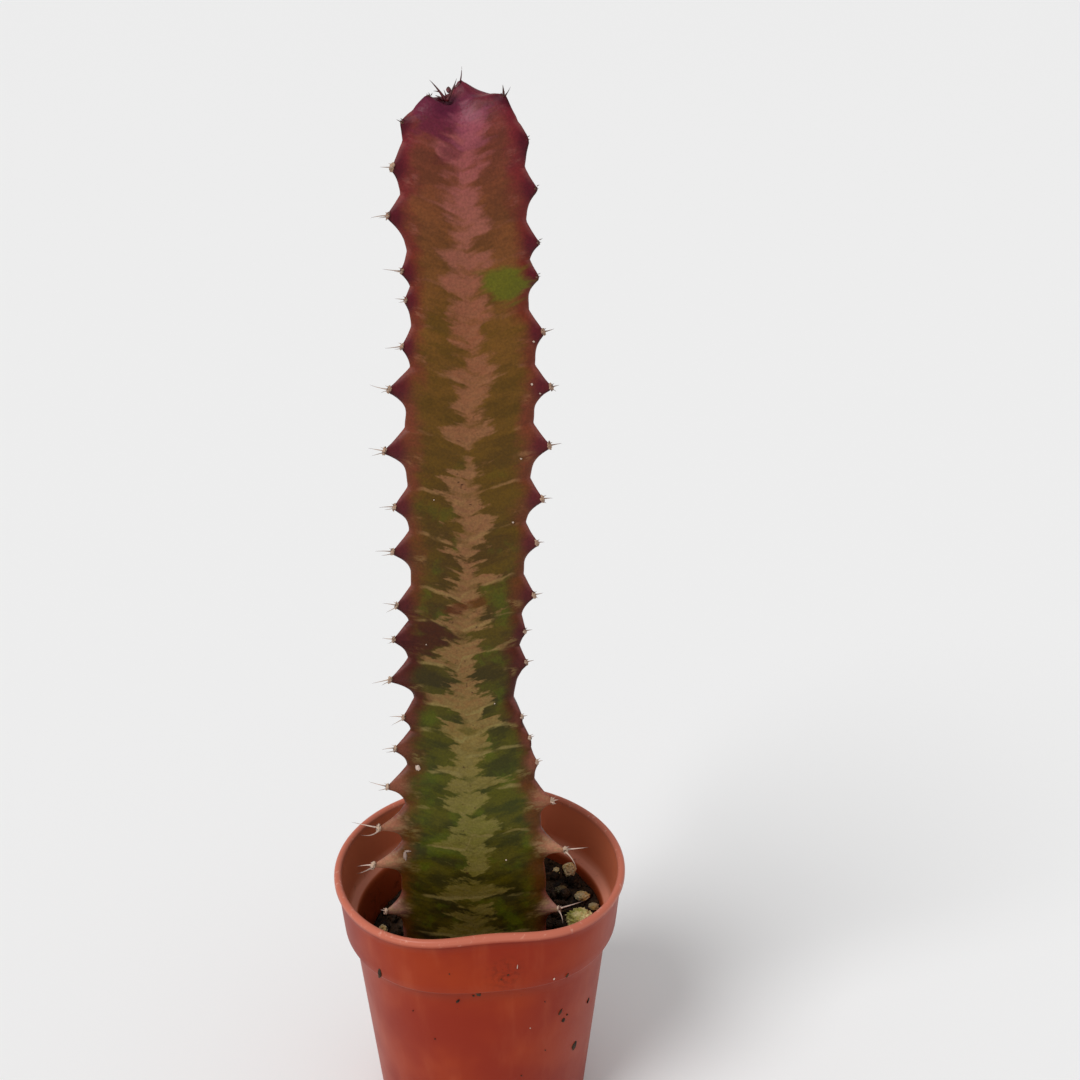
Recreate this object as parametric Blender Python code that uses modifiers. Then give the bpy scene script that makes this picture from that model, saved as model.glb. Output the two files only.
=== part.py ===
"""Potted euphorbia: a three-ribbed succulent stem with paired spines, rooted in a small
collared nursery pot of soft moulded plastic, with compost and loose grit on top.

Metres, +Z up. The origin is the centre of the pot's foot, on the surface it stands on.
The camera side, the front, is -Y. Azimuths are in degrees from +X towards +Y.
"""

import math
import random

import bmesh
import bpy
from mathutils import Matrix, Vector

MM = 0.001

# ---- pot ---------------------------------------------------------------------------
POT_HEIGHT = 54.0 * MM
RIM_RADIUS = 27.5 * MM
COLLAR_HEIGHT = 11.5 * MM
COLLAR_FOOT_RADIUS = 26.0 * MM
BODY_TOP_RADIUS = 24.4 * MM
FOOT_RADIUS = 20.0 * MM
WALL = 0.8 * MM
LIP_OVERHANG = 0.6 * MM
LIP_DEPTH = 1.4 * MM
FLOOR_THICKNESS = 1.2 * MM
FOOT_RECESS = 0.8 * MM
FOOT_RING_WIDTH = 4.0 * MM
FOOT_PAD_RADIUS = 5.5 * MM
FOOT_CHAMFER = 0.8 * MM
DRAIN_HOLES = 4
DRAIN_HOLE_RADIUS = 2.2 * MM
DRAIN_CIRCLE_RADIUS = 10.5 * MM
POT_STEPS = 64
WALL_ROW_SHARES = (0.3, 0.5, 0.7)

# The soft wall is pushed in at the front, most at the rim and not at all at the foot.
DENT_AZIMUTH = -83.0
DENT_SPREAD = 22.0
DENT_DEPTH = 4.3 * MM
DENT_RISE = 0.9 * MM
DENT_FADES_AT = 15.0 * MM

# ---- soil --------------------------------------------------------------------------
SOIL_BELOW_RIM = 16.5 * MM
SOIL_SLOPE_X = 0.16
SOIL_SLOPE_Y = 0.08
SOIL_BUMP = 0.35 * MM
GAP = 0.3 * MM
SOIL_STEPS = 48

# ---- stem --------------------------------------------------------------------------
STEM_HEIGHT = 157.5 * MM
CROWN_HEIGHT = 9.0 * MM
CROWN_ARC = 15.5 * MM
CROWN_SQUARENESS = 0.7
CROWN_DIP = 1.5 * MM
BURIED_DEPTH = 14.0 * MM
BURIED_END_SHARE = 0.45
RING_PITCH = 1.2 * MM
FACE_SHARE = 0.47
RIB_THICKNESS = 3.2 * MM
TOOTH_TIP_THICKNESS = 1.7 * MM
TOOTH_TIP_HALF_HEIGHT = 0.45 * MM
TOOTH_SPAN_UP = 2.6 * MM
TOOTH_SPAN_UP_PER_REACH = 0.15
TOOTH_SHARPNESS_UP = 1.2
TOOTH_SPAN_DOWN = 3.7 * MM
TOOTH_SPAN_DOWN_PER_REACH = 0.28
TOOTH_SHARPNESS_DOWN = 2.2
TOOTH_STARTS_AT = 0.42
PEAK_X = -0.7 * MM
PEAK_Y = 0.3 * MM
PEAK_RISE = 2.8 * MM
PEAK_SPREAD = 1.5 * MM
PEAK_FROM = 0.92
PEAK_SPINE_LENGTH = 2.6 * MM

# Along the crest from the soil to the growing point: share of the way, crest radius in
# the dips between teeth, and how far the stem's middle drifts sideways along X.
STEM_OUTLINE = (
    (0.00, 15.4 * MM, -1.0 * MM),
    (0.10, 15.3 * MM, -0.9 * MM),
    (0.18, 14.5 * MM, -1.0 * MM),
    (0.23, 13.4 * MM, -1.2 * MM),
    (0.28, 12.5 * MM, -1.2 * MM),
    (0.31, 10.9 * MM, -1.5 * MM),
    (0.34, 10.1 * MM, -2.0 * MM),
    (0.37, 11.0 * MM, -2.0 * MM),
    (0.50, 11.0 * MM, -0.9 * MM),
    (0.64, 12.0 * MM, -0.1 * MM),
    (0.71, 11.5 * MM, 0.6 * MM),
    (0.79, 10.4 * MM, 0.4 * MM),
    (0.86, 11.1 * MM, -0.4 * MM),
    (0.92, 10.4 * MM, -0.2 * MM),
    (1.00, 10.2 * MM, -0.8 * MM),
)

# Teeth up each rib: share of the crest in per cent, and reach in millimetres.
LEFT_TEETH = (
    (7.4, 3.6), (14.1, 6.0), (18.7, 4.9), (23.6, 3.7), (28.1, 2.7), (31.6, 2.2), (36.5, 3.8),
    (41.2, 3.0), (45.1, 2.7), (51.3, 3.4), (56.2, 2.7), (62.4, 3.9), (68.7, 3.6), (72.8, 1.5),
    (77.3, 1.2), (80.1, 1.7), (85.4, 2.2), (89.8, 1.8), (93.2, 0.9), (97.6, 0.9),
)
RIGHT_TEETH = (
    (8.3, 3.1), (15.9, 5.1), (21.8, 3.6), (26.2, 1.3), (29.0, 0.6), (31.4, 0.5), (38.3, 1.8),
    (41.9, 1.2), (46.3, 2.4), (52.2, 2.6), (57.1, 2.8), (62.9, 3.2), (68.9, 3.2), (74.3, 2.2),
    (79.6, 2.0), (82.9, 2.3), (87.9, 2.1), (91.6, 1.0), (96.4, 1.4),
)
BACK_TOOTH_PITCH = 8.6 * MM
BACK_TOOTH_REACH = 3.2 * MM
BACK_FIRST_TOOTH = 13.0 * MM
BACK_LAST_SHARE = 0.96

# ---- spines ------------------------------------------------------------------------
SPINE_LENGTH = 1.2 * MM
SPINE_LENGTH_PER_REACH = 0.45
SPINE_BASE_RADIUS = 0.34 * MM
SPINE_TIP_RADIUS = 0.07 * MM
SPINE_ROOT_DEPTH = 1.4 * MM
SPINE_PAIR_HALF_GAP = 0.34 * MM
SPINE_SPLAY = 34.0
SPINE_SIDES = 5

# ---- young leaves at the growing point ---------------------------------------------
LEAF_LENGTH = 2.3 * MM
LEAF_HALF_WIDTH = 0.5 * MM
LEAF_FLATNESS = 0.55
LEAF_LEAN = 38.0
LEAF_STAND_OFF = 1.6 * MM
LEAF_CLEARANCE = 0.6 * MM
LEAF_AZIMUTHS = (180.0, 20.0, 95.0)

# ---- loose pieces on the soil -------------------------------------------------------
# Azimuth, share of the way from the stem's side to the pot's wall, and size in mm.
PUMICE_GRAINS = (
    (36.0, 1.00, 3.1), (42.5, 0.84, 1.5), (27.0, 0.70, 2.4), (13.5, 0.90, 2.8), (5.0, 1.00, 2.0),
    (60.0, 0.90, 2.4), (128.0, 0.85, 2.8), (150.0, 0.55, 3.4), (172.0, 0.88, 2.4),
    (236.0, 0.85, 2.6), (262.0, 0.45, 3.0), (285.0, 0.80, 2.2), (306.0, 0.88, 1.9),
)
BARK_CHIPS = ((36.0, 0.28, 2.6), (140.0, 0.15, 3.0), (187.0, 0.50, 2.8), (248.0, 0.15, 3.2))
MOSS_CLUMP = (353.5, 0.88, 5.4)
GRAIN_POINTS = 16
BARK_FLATNESS = 0.4
MOSS_FLATNESS = 0.7

# Where a half section has its points, from the middle of a face to the rib's crest.
SECTION_STEPS = (0.0, 0.45, 0.8, 1.0)

RIB_AZIMUTHS = {"left": 210.0, "right": 330.0, "back": 90.0}


# ---- small helpers -----------------------------------------------------------------
def polar(radius, azimuth, height=0.0):
    """The point at a radius and an azimuth in degrees."""
    angle = math.radians(azimuth)
    return Vector((radius * math.cos(angle), radius * math.sin(angle), height))


def smooth_step(share):
    share = min(1.0, max(0.0, share))
    return share * share * (3.0 - 2.0 * share)


def new_object(name, mesh, collection, material=None):
    made = bpy.data.objects.new(name, mesh)
    collection.objects.link(made)
    if material is not None:
        made.data.materials.append(material)
    return made


def mesh_of(name, shape):
    """A mesh from a bmesh, which is freed, with its faces turned outwards."""
    bmesh.ops.recalc_face_normals(shape, faces=shape.faces)
    mesh = bpy.data.meshes.new(name)
    shape.to_mesh(mesh)
    shape.free()
    return mesh


def baked(made):
    """Replaces an object's mesh with its evaluated one and drops its modifiers."""
    bpy.context.view_layer.update()
    graph = bpy.context.evaluated_depsgraph_get()
    mesh = bpy.data.meshes.new_from_object(made.evaluated_get(graph))
    made.modifiers.clear()
    made.data = mesh


def turned(name, profile, steps, collection, material=None):
    """A profile of (radius, height) points from axis to axis, screwed round Z."""
    mesh = bpy.data.meshes.new(name)
    points = [(radius, 0.0, height) for radius, height in profile]
    mesh.from_pydata(points, [(i, i + 1) for i in range(len(points) - 1)], [])
    made = new_object(name, mesh, collection, material)
    screw = made.modifiers.new("turn", "SCREW")
    screw.steps = screw.render_steps = steps
    screw.use_merge_vertices = True
    screw.merge_threshold = 0.00001
    baked(made)
    return made


def boolean(made, other, operation):
    cut = made.modifiers.new(operation.lower(), "BOOLEAN")
    cut.operation = operation
    cut.object = other
    cut.solver = "EXACT"
    baked(made)


def loft(name, sections, collection, material=None):
    """A closed skin over sections of equal point count, with a fan at each end."""
    shape = bmesh.new()
    rings = [[shape.verts.new(point) for point in section] for section in sections]
    count = len(rings[0])
    for lower, upper in zip(rings, rings[1:]):
        for i in range(count):
            j = (i + 1) % count
            shape.faces.new((lower[i], lower[j], upper[j], upper[i]))
    for ring in (rings[0], rings[-1]):
        middle = sum((vertex.co for vertex in ring), Vector()) / count
        hub = shape.verts.new(middle)
        for i in range(count):
            shape.faces.new((ring[i], ring[(i + 1) % count], hub))
    return new_object(name, mesh_of(name, shape), collection, material)


def material(name, colour, roughness):
    made = bpy.data.materials.new(name)
    made.use_nodes = True
    shader = made.node_tree.nodes["Principled BSDF"]
    shader.inputs["Base Color"].default_value = (*colour, 1.0)
    shader.inputs["Roughness"].default_value = roughness
    shader.inputs["Metallic"].default_value = 0.0
    return made


# ---- pot ---------------------------------------------------------------------------
def dent_at(azimuth, height):
    """How much of the dent there is at this place on the wall, from 0 to 1."""
    away = (azimuth - DENT_AZIMUTH + 180.0) % 360.0 - 180.0
    across = math.exp(-0.5 * (away / DENT_SPREAD) ** 2)
    up = max(0.0, (height - DENT_FADES_AT) / (POT_HEIGHT - DENT_FADES_AT))
    return across * up * up


def squeezed(point):
    """Where a point of the round pot goes when its front is pushed in."""
    radius = math.hypot(point.x, point.y)
    azimuth = math.degrees(math.atan2(point.y, point.x))
    share = dent_at(azimuth, point.z) * smooth_step(radius / BODY_TOP_RADIUS)
    moved = polar(radius - share * DENT_DEPTH, azimuth, point.z)
    moved.z += share * DENT_RISE
    return moved


def collar_step():
    """The height of the step under the collar."""
    return POT_HEIGHT - COLLAR_HEIGHT


def body_radius(height):
    """Outer radius of the tapered body below the collar."""
    share = height / collar_step()
    return FOOT_RADIUS + (BODY_TOP_RADIUS - FOOT_RADIUS) * share


def inner_radius(height):
    return body_radius(height) - WALL


def floor_top():
    return FOOT_RECESS + FLOOR_THICKNESS


def wall_rows():
    """Heights where the wall and the soil inside it both have a row of points."""
    return tuple(share * collar_step() for share in WALL_ROW_SHARES)


def pot_profile():
    """From the inner floor's centre up the inside, over the lip and down the outside."""
    step = collar_step()
    ledge = step + WALL
    foot_inner = FOOT_RADIUS - FOOT_RING_WIDTH
    lip_radius = RIM_RADIUS - LIP_OVERHANG
    half_lip = 0.5 * (WALL + LIP_OVERHANG)
    return (
        (0.0, floor_top()),
        (0.5 * inner_radius(floor_top()), floor_top()),
        *((inner_radius(height), height) for height in (floor_top(), *wall_rows())),
        (inner_radius(step - WALL), step - WALL),
        (inner_radius(step), ledge),
        (COLLAR_FOOT_RADIUS - WALL, ledge + 0.3 * WALL),
        (0.5 * (COLLAR_FOOT_RADIUS + lip_radius) - WALL, 0.5 * (ledge + POT_HEIGHT)),
        (lip_radius - WALL, POT_HEIGHT - 0.4 * half_lip),
        (RIM_RADIUS - 1.5 * half_lip, POT_HEIGHT),
        (RIM_RADIUS - 0.5 * half_lip, POT_HEIGHT),
        (RIM_RADIUS, POT_HEIGHT - 0.6 * half_lip),
        (RIM_RADIUS, POT_HEIGHT - LIP_DEPTH + 0.4 * half_lip),
        (lip_radius, POT_HEIGHT - LIP_DEPTH),
        (0.5 * (COLLAR_FOOT_RADIUS + lip_radius), 0.5 * (step + POT_HEIGHT)),
        (COLLAR_FOOT_RADIUS, step + 0.4 * WALL),
        (COLLAR_FOOT_RADIUS - 0.4 * WALL, step),
        (body_radius(step - 0.5 * WALL), step - 0.5 * WALL),
        *((body_radius(height), height) for height in (*reversed(wall_rows()), FOOT_CHAMFER)),
        (FOOT_RADIUS - FOOT_CHAMFER, 0.0),
        (foot_inner, 0.0),
        (foot_inner - FOOT_RECESS, FOOT_RECESS),
        (FOOT_PAD_RADIUS + FOOT_RECESS, FOOT_RECESS),
        (FOOT_PAD_RADIUS, 0.0),
        (0.0, 0.0),
    )


def make_pot(parts, cutters, plastic):
    pot = turned("pot", pot_profile(), POT_STEPS, parts, plastic)
    for vertex in pot.data.vertices:
        vertex.co = squeezed(vertex.co)
    holes = bmesh.new()
    for i in range(DRAIN_HOLES):
        place = polar(DRAIN_CIRCLE_RADIUS, 45.0 + i * 360.0 / DRAIN_HOLES, floor_top() / 2)
        bmesh.ops.create_cone(
            holes, cap_ends=True, segments=16, radius1=DRAIN_HOLE_RADIUS,
            radius2=DRAIN_HOLE_RADIUS, depth=4.0 * floor_top(), matrix=Matrix.Translation(place),
        )
    drill = new_object("drain_drill", mesh_of("drain_drill", holes), cutters)
    boolean(pot, drill, "DIFFERENCE")
    pot.data.shade_smooth()
    pot.data.set_sharp_from_angle(angle=math.radians(35.0))
    return pot


# ---- soil --------------------------------------------------------------------------
def soil_level():
    """The soil's height at the stem."""
    return POT_HEIGHT - SOIL_BELOW_RIM


def soil_height(x, y):
    """The soil slopes up towards +X and +Y and is a little lumpy."""
    lumps = math.sin(520.0 * x + 1.0) * math.cos(610.0 * y) + 0.6 * math.sin(330.0 * (x + y))
    return soil_level() + SOIL_SLOPE_X * x + SOIL_SLOPE_Y * y + SOIL_BUMP * lumps


def make_soil(parts, cutters, compost):
    level = soil_level()
    bottom = floor_top() + GAP
    shares = (0.0, 0.3, 0.55, 0.75, 0.9, 1.0)
    top = [(share * (inner_radius(level) - GAP), level) for share in reversed(shares)]
    side = [(inner_radius(z) - GAP, z) for z in (*reversed(wall_rows()), bottom)]
    soil = turned("soil", list(reversed(top)) + side + [(0.0, bottom)], SOIL_STEPS, parts, compost)
    for vertex in soil.data.vertices:
        if vertex.co.z > level - GAP:
            radius = math.hypot(vertex.co.x, vertex.co.y)
            height = soil_height(vertex.co.x, vertex.co.y)
            if radius > 0.95 * (inner_radius(level) - GAP):
                azimuth = math.degrees(math.atan2(vertex.co.y, vertex.co.x))
                vertex.co = polar(inner_radius(height) - GAP, azimuth)
            vertex.co.z = height
        flat = vertex.co.z
        vertex.co = squeezed(vertex.co)
        vertex.co.z = flat
    socket = loft("stem_socket", stem_sections(GAP, BURIED_DEPTH + GAP, 0.18), cutters)
    boolean(soil, socket, "DIFFERENCE")
    return soil


# ---- stem --------------------------------------------------------------------------
def crest_length():
    """Along a rib's crest from the soil to the growing point."""
    return STEM_HEIGHT - CROWN_HEIGHT + CROWN_ARC


def outline_at(share):
    """Crest radius and sideways drift at a share of the crest, eased between rows."""
    share = min(1.0, max(0.0, share))
    for low, high in zip(STEM_OUTLINE, STEM_OUTLINE[1:]):
        if share <= high[0]:
            ease = smooth_step((share - low[0]) / (high[0] - low[0]))
            return tuple(a + (b - a) * ease for a, b in zip(low[1:], high[1:]))
    return STEM_OUTLINE[-1][1:]


def crest_at(along):
    """(radius, height above the soil, outward normal) of the crest without its teeth."""
    straight = STEM_HEIGHT - CROWN_HEIGHT
    if along <= straight:
        return outline_at(along / crest_length())[0], along, (1.0, 0.0)
    turn = min(1.0, (along - straight) / CROWN_ARC) * math.pi / 2
    shoulder = outline_at(straight / crest_length())[0]
    radius = shoulder * max(0.0, math.cos(turn)) ** CROWN_SQUARENESS
    rise = CROWN_HEIGHT * math.sin(turn) ** CROWN_SQUARENESS
    dip = CROWN_DIP * smooth_step((turn / (math.pi / 2) - 0.7) / 0.3)
    return radius, straight + rise - dip, (math.cos(turn), math.sin(turn))


def back_teeth():
    """The back rib's teeth follow its own pitch, a little uneven as growth is."""
    uneven = random.Random(7)
    teeth = []
    along = BACK_FIRST_TOOTH
    while along < BACK_LAST_SHARE * crest_length():
        reach = BACK_TOOTH_REACH * uneven.uniform(0.65, 1.2)
        teeth.append((100.0 * along / crest_length(), reach / MM))
        along += BACK_TOOTH_PITCH * uneven.uniform(0.85, 1.15)
    return tuple(teeth)


def teeth_of(rib):
    """Each tooth of a rib as (distance along the crest, reach), in metres."""
    listed = {"left": LEFT_TEETH, "right": RIGHT_TEETH, "back": back_teeth()}[rib]
    return [(percent / 100.0 * crest_length(), reach * MM) for percent, reach in listed]


def tooth_bump(teeth, along):
    """(how far the teeth lift the crest here, how near the tip that is from 0 to 1)."""
    best = (0.0, 0.0)
    for place, reach in teeth:
        if along > place:
            span, power = TOOTH_SPAN_UP + TOOTH_SPAN_UP_PER_REACH * reach, TOOTH_SHARPNESS_UP
        else:
            span, power = TOOTH_SPAN_DOWN + TOOTH_SPAN_DOWN_PER_REACH * reach, TOOTH_SHARPNESS_DOWN
        away = max(0.0, abs(along - place) - TOOTH_TIP_HALF_HEIGHT) / span
        share = max(0.0, 1.0 - away) ** power
        best = max(best, (share * reach, share))
    return best


def peak_at(x, y, share):
    """How much the peak beside the growing point lifts the skin at a place."""
    away = math.hypot(x - PEAK_X, 0.8 * (y - PEAK_Y)) / PEAK_SPREAD
    pull = math.exp(0.4 - math.sqrt(away * away + 0.16))
    return PEAK_RISE * pull * smooth_step((share - PEAK_FROM) / (1.0 - PEAK_FROM))


def half_sector(crest, face, thickness):
    """From the middle of a face to a rib's crest, as (radial, sideways) points in the
    rib's own plane: a cubic curve whose last leg rounds the rib's edge."""
    start = Vector((face * math.cos(math.pi / 3), face * math.sin(math.pi / 3)))
    edge = Vector((crest, 0.0))
    shoulder = Vector((crest - 0.2 * thickness, 0.62 * thickness))
    flank = start.lerp(Vector((crest, 0.5 * thickness)), 0.62)
    points = []
    for t in SECTION_STEPS:
        u = 1.0 - t
        points.append(
            u**3 * start + 3 * u * u * t * flank + 3 * u * t * t * shoulder + t**3 * edge
        )
    return points


def tooth_share(t):
    """How much of a tooth's reach a point takes, from none on the face to all on the rib."""
    return smooth_step((t - TOOTH_STARTS_AT) / (1.0 - TOOTH_STARTS_AT)) ** 1.5


def section_at(along, teeth, grow):
    """One closed section of the stem, anticlockwise, with every radius grown by grow."""
    radius, height, normal = crest_at(max(0.0, along))
    share = max(0.0, along) / crest_length()
    drift = outline_at(share)[1]
    if along < 0.0:
        radius *= 1.0 - (1.0 - BURIED_END_SHARE) * (-along / BURIED_DEPTH) ** 2
        height = along
    ring = []
    for rib in ("right", "back", "left"):
        bump, nearness = tooth_bump(teeth[rib], along) if along > 0.0 else (0.0, 0.0)
        thickness = min(RIB_THICKNESS, 0.7 * radius)
        thickness += (min(TOOTH_TIP_THICKNESS, thickness) - thickness) * nearness
        half = half_sector(radius + grow, FACE_SHARE * radius + grow, thickness + 2 * grow)
        for point, t in zip(half, SECTION_STEPS):
            point.x += bump * normal[0] * tooth_share(t)
        turn = Matrix.Rotation(math.radians(RIB_AZIMUTHS[rib]), 2)
        side_a = [(Vector((p.x, -p.y)), i) for i, p in enumerate(half)]
        side_b = [(Vector((p.x, p.y)), i) for i, p in enumerate(half)][-2:0:-1]
        for flat, i in side_a + side_b:
            x, y = turn @ flat
            up = bump * normal[1] * tooth_share(SECTION_STEPS[i]) + peak_at(x + drift, y, share)
            ring.append(Vector((x + drift, y, soil_level() + height + up)))
    return ring


def stem_sections(grow, depth, top_share):
    """Sections from below the soil to a share of the crest."""
    teeth = {rib: teeth_of(rib) for rib in RIB_AZIMUTHS}
    top = top_share * (crest_length() - 0.6 * MM)
    buried = [-depth * share for share in (1.0, 0.97, 0.85, 0.6, 0.3)]
    count = math.ceil(top / RING_PITCH)
    rising = [top * i / count for i in range(count + 1)]
    return [section_at(along, teeth, grow) for along in buried + rising]


def stem_side(azimuth):
    """How far the stem's side is from the axis at the soil, looking out at an azimuth."""
    ring = section_at(0.0, {rib: () for rib in RIB_AZIMUTHS}, 0.0)
    out = polar(1.0, azimuth)
    for a, b in zip(ring, ring[1:] + ring[:1]):
        side_a, side_b = out.cross(a).z, out.cross(b).z
        if side_a <= 0.0 < side_b or side_b <= 0.0 < side_a:
            crossing = a.lerp(b, side_a / (side_a - side_b))
            if out.dot(crossing) > 0.0:
                return math.hypot(crossing.x, crossing.y)
    return 0.0


def spine_pairs():
    """(root, direction, length) of every spine, two to a tooth, splayed sideways."""
    found = []
    for rib, azimuth in RIB_AZIMUTHS.items():
        for along, reach in teeth_of(rib):
            radius, height, normal = crest_at(along)
            drift = outline_at(along / crest_length())[1]
            out = polar(normal[0], azimuth, normal[1])
            across = polar(1.0, azimuth + 90.0)
            tip = polar(radius, azimuth, soil_level() + height) + reach * out
            tip.x += drift
            tip.z += peak_at(tip.x, tip.y, along / crest_length())
            length = SPINE_LENGTH + SPINE_LENGTH_PER_REACH * reach
            for side in (-1.0, 1.0):
                root = tip - SPINE_ROOT_DEPTH * out + side * SPINE_PAIR_HALF_GAP * across
                splay = math.radians(SPINE_SPLAY)
                way = out * math.cos(splay) + side * across * math.sin(splay)
                found.append((root, way, length + SPINE_ROOT_DEPTH))
    _, height, _ = crest_at(crest_length())
    top = Vector((PEAK_X, PEAK_Y, soil_level() + height + PEAK_RISE - SPINE_ROOT_DEPTH))
    found.append((top, Vector((0.0, 0.0, 1.0)), PEAK_SPINE_LENGTH + SPINE_ROOT_DEPTH))
    return found


def make_stem(parts, cutters, skin):
    stem = loft("stem", stem_sections(0.0, BURIED_DEPTH, 1.0), parts, skin)
    spines = bmesh.new()
    for root, way, length in spine_pairs():
        place = Matrix.Translation(root + 0.5 * length * way)
        aim = way.to_track_quat("Z", "Y").to_matrix().to_4x4()
        bmesh.ops.create_cone(
            spines, cap_ends=True, segments=SPINE_SIDES, radius1=SPINE_BASE_RADIUS,
            radius2=SPINE_TIP_RADIUS, depth=length, matrix=place @ aim,
        )
    thorns = new_object("spine_pairs", mesh_of("spine_pairs", spines), cutters)
    boolean(stem, thorns, "UNION")
    stem.data.shade_smooth()
    stem.data.set_sharp_from_angle(angle=math.radians(50.0))
    return stem


# ---- young leaves ------------------------------------------------------------------
def make_young_leaves(parts, leaf_skin):
    radius, height, _ = crest_at(crest_length())
    heart = Vector((outline_at(1.0)[1], 0.0, soil_level() + height))
    for number, azimuth in enumerate(LEAF_AZIMUTHS, 1):
        shape = bmesh.new()
        bmesh.ops.create_cone(
            shape, cap_ends=True, segments=8, radius1=LEAF_HALF_WIDTH,
            radius2=0.2 * LEAF_HALF_WIDTH, depth=LEAF_LENGTH,
            matrix=Matrix.Translation((0.0, 0.0, 0.5 * LEAF_LENGTH)),
        )
        made = new_object(f"young_leaf_{number}", mesh_of("young_leaf", shape), parts, leaf_skin)
        made.data.transform(Matrix.Diagonal((LEAF_FLATNESS, 1.0, 1.0, 1.0)))
        made.rotation_euler = (0.0, math.radians(LEAF_LEAN), math.radians(azimuth))
        where = heart + polar(LEAF_STAND_OFF, azimuth, LEAF_CLEARANCE)
        where.z += peak_at(where.x, where.y, 1.0)
        made.location = where


# ---- loose pieces on the soil --------------------------------------------------------
def make_grain(name, place, flatness, parts, look):
    """An angular grain: the hull of points on a lopsided ball, lying on the soil."""
    azimuth, share, size_mm = place
    uneven = random.Random(name)
    half = 0.5 * size_mm * MM
    stretch = Vector((1.0, uneven.uniform(0.7, 0.9), flatness * uneven.uniform(0.75, 0.9)))
    shape = bmesh.new()
    for i in range(GRAIN_POINTS):
        up = 1.0 - 2.0 * (i + 0.5) / GRAIN_POINTS
        ring = math.sqrt(1.0 - up * up)
        turn = i * 2.4 + uneven.uniform(-0.25, 0.25)
        point = Vector((ring * math.cos(turn), ring * math.sin(turn), up))
        shape.verts.new(point * stretch * half * uneven.uniform(0.85, 1.0))
    bmesh.ops.convex_hull(shape, input=shape.verts)
    loose = [vertex for vertex in shape.verts if not vertex.link_faces]
    bmesh.ops.delete(shape, geom=loose, context="VERTS")
    spin = Matrix.Rotation(uneven.uniform(0.0, math.pi), 3, "Z")
    bmesh.ops.rotate(shape, verts=shape.verts, matrix=spin)
    nearest = stem_side(azimuth) + half + GAP
    reach = inner_radius(soil_level())
    beside_wall = polar(reach, azimuth)
    reach = inner_radius(soil_height(beside_wall.x, beside_wall.y))
    farthest = reach - half - 2 * GAP
    where = polar(nearest + share * (farthest - nearest), azimuth)
    lift = max(soil_height(where.x + v.co.x, where.y + v.co.y) - v.co.z for v in shape.verts)
    made = new_object(name, mesh_of(name, shape), parts, look)
    made.location = (where.x, where.y, lift + GAP)
    return made


def main():
    for old in list(bpy.data.objects):
        bpy.data.objects.remove(old)
    parts = bpy.data.collections.new("potted_euphorbia")
    cutters = bpy.data.collections.new("cutters")
    for collection in (parts, cutters):
        bpy.context.scene.collection.children.link(collection)
    plastic = material("terracotta_plastic", (0.36, 0.075, 0.035), 0.45)
    compost = material("compost", (0.020, 0.014, 0.009), 0.95)
    skin = material("stem_skin", (0.13, 0.055, 0.018), 0.5)
    leaf_skin = material("young_leaf_skin", (0.09, 0.02, 0.02), 0.5)
    pumice = material("pumice", (0.48, 0.30, 0.16), 0.9)
    bark = material("bark", (0.045, 0.022, 0.012), 0.9)
    moss = material("mossy_clump", (0.42, 0.32, 0.12), 0.95)

    make_pot(parts, cutters, plastic)
    make_soil(parts, cutters, compost)
    make_stem(parts, cutters, skin)
    make_young_leaves(parts, leaf_skin)
    for number, place in enumerate(PUMICE_GRAINS, 1):
        make_grain(f"pumice_grain_{number}", place, 1.0, parts, pumice)
    for number, place in enumerate(BARK_CHIPS, 1):
        make_grain(f"bark_chip_{number}", place, BARK_FLATNESS, parts, bark)
    make_grain("moss_clump", MOSS_CLUMP, MOSS_FLATNESS, parts, moss)

    for helper in cutters.objects:
        helper.hide_render = True
        helper.display_type = "WIRE"


main()
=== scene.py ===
"""Looks of a potted euphorbia: a three-ribbed spiny stem in a small soft nursery pot.

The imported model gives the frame. Every visible surface is built here in finer detail and
rides on the one rigid body. Lengths are in metres, +Z is up and -Y is the front.
"""

from __future__ import annotations

import logging
import math
import random
from dataclasses import dataclass, field, fields
from enum import Enum
from functools import reduce

import bmesh
import bpy
from mathutils import Euler, Matrix, Vector, noise
from mathutils.bvhtree import BVHTree

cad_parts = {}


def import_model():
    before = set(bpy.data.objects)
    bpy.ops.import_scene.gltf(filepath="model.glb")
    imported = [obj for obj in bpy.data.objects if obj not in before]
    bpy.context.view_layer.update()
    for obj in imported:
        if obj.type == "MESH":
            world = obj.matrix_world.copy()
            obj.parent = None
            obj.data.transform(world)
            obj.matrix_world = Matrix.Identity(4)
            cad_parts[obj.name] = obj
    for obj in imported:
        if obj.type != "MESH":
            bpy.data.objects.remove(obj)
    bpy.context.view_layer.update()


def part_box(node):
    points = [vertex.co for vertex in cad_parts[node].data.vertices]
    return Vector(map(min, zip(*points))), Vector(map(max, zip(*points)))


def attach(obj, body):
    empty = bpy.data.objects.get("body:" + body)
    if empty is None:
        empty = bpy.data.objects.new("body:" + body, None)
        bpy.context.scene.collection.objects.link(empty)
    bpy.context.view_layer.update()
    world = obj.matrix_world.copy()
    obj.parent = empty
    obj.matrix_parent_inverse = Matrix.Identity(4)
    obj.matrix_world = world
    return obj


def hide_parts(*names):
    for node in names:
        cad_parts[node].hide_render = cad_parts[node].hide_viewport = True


LOG = logging.getLogger("potted_euphorbia")
MM = 0.001
ROOT = "root"
# Between teeth, where a rib has no neighbouring tooth to measure from.
USUAL_PITCH = 8.5 * MM
# What a satin surface's gloss adds to its colour, what is left of it, and the darkest.
GLOSS_WHITE = 0.012
LIGHT_SHARE = 0.95
DARKEST = 0.0015

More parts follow.
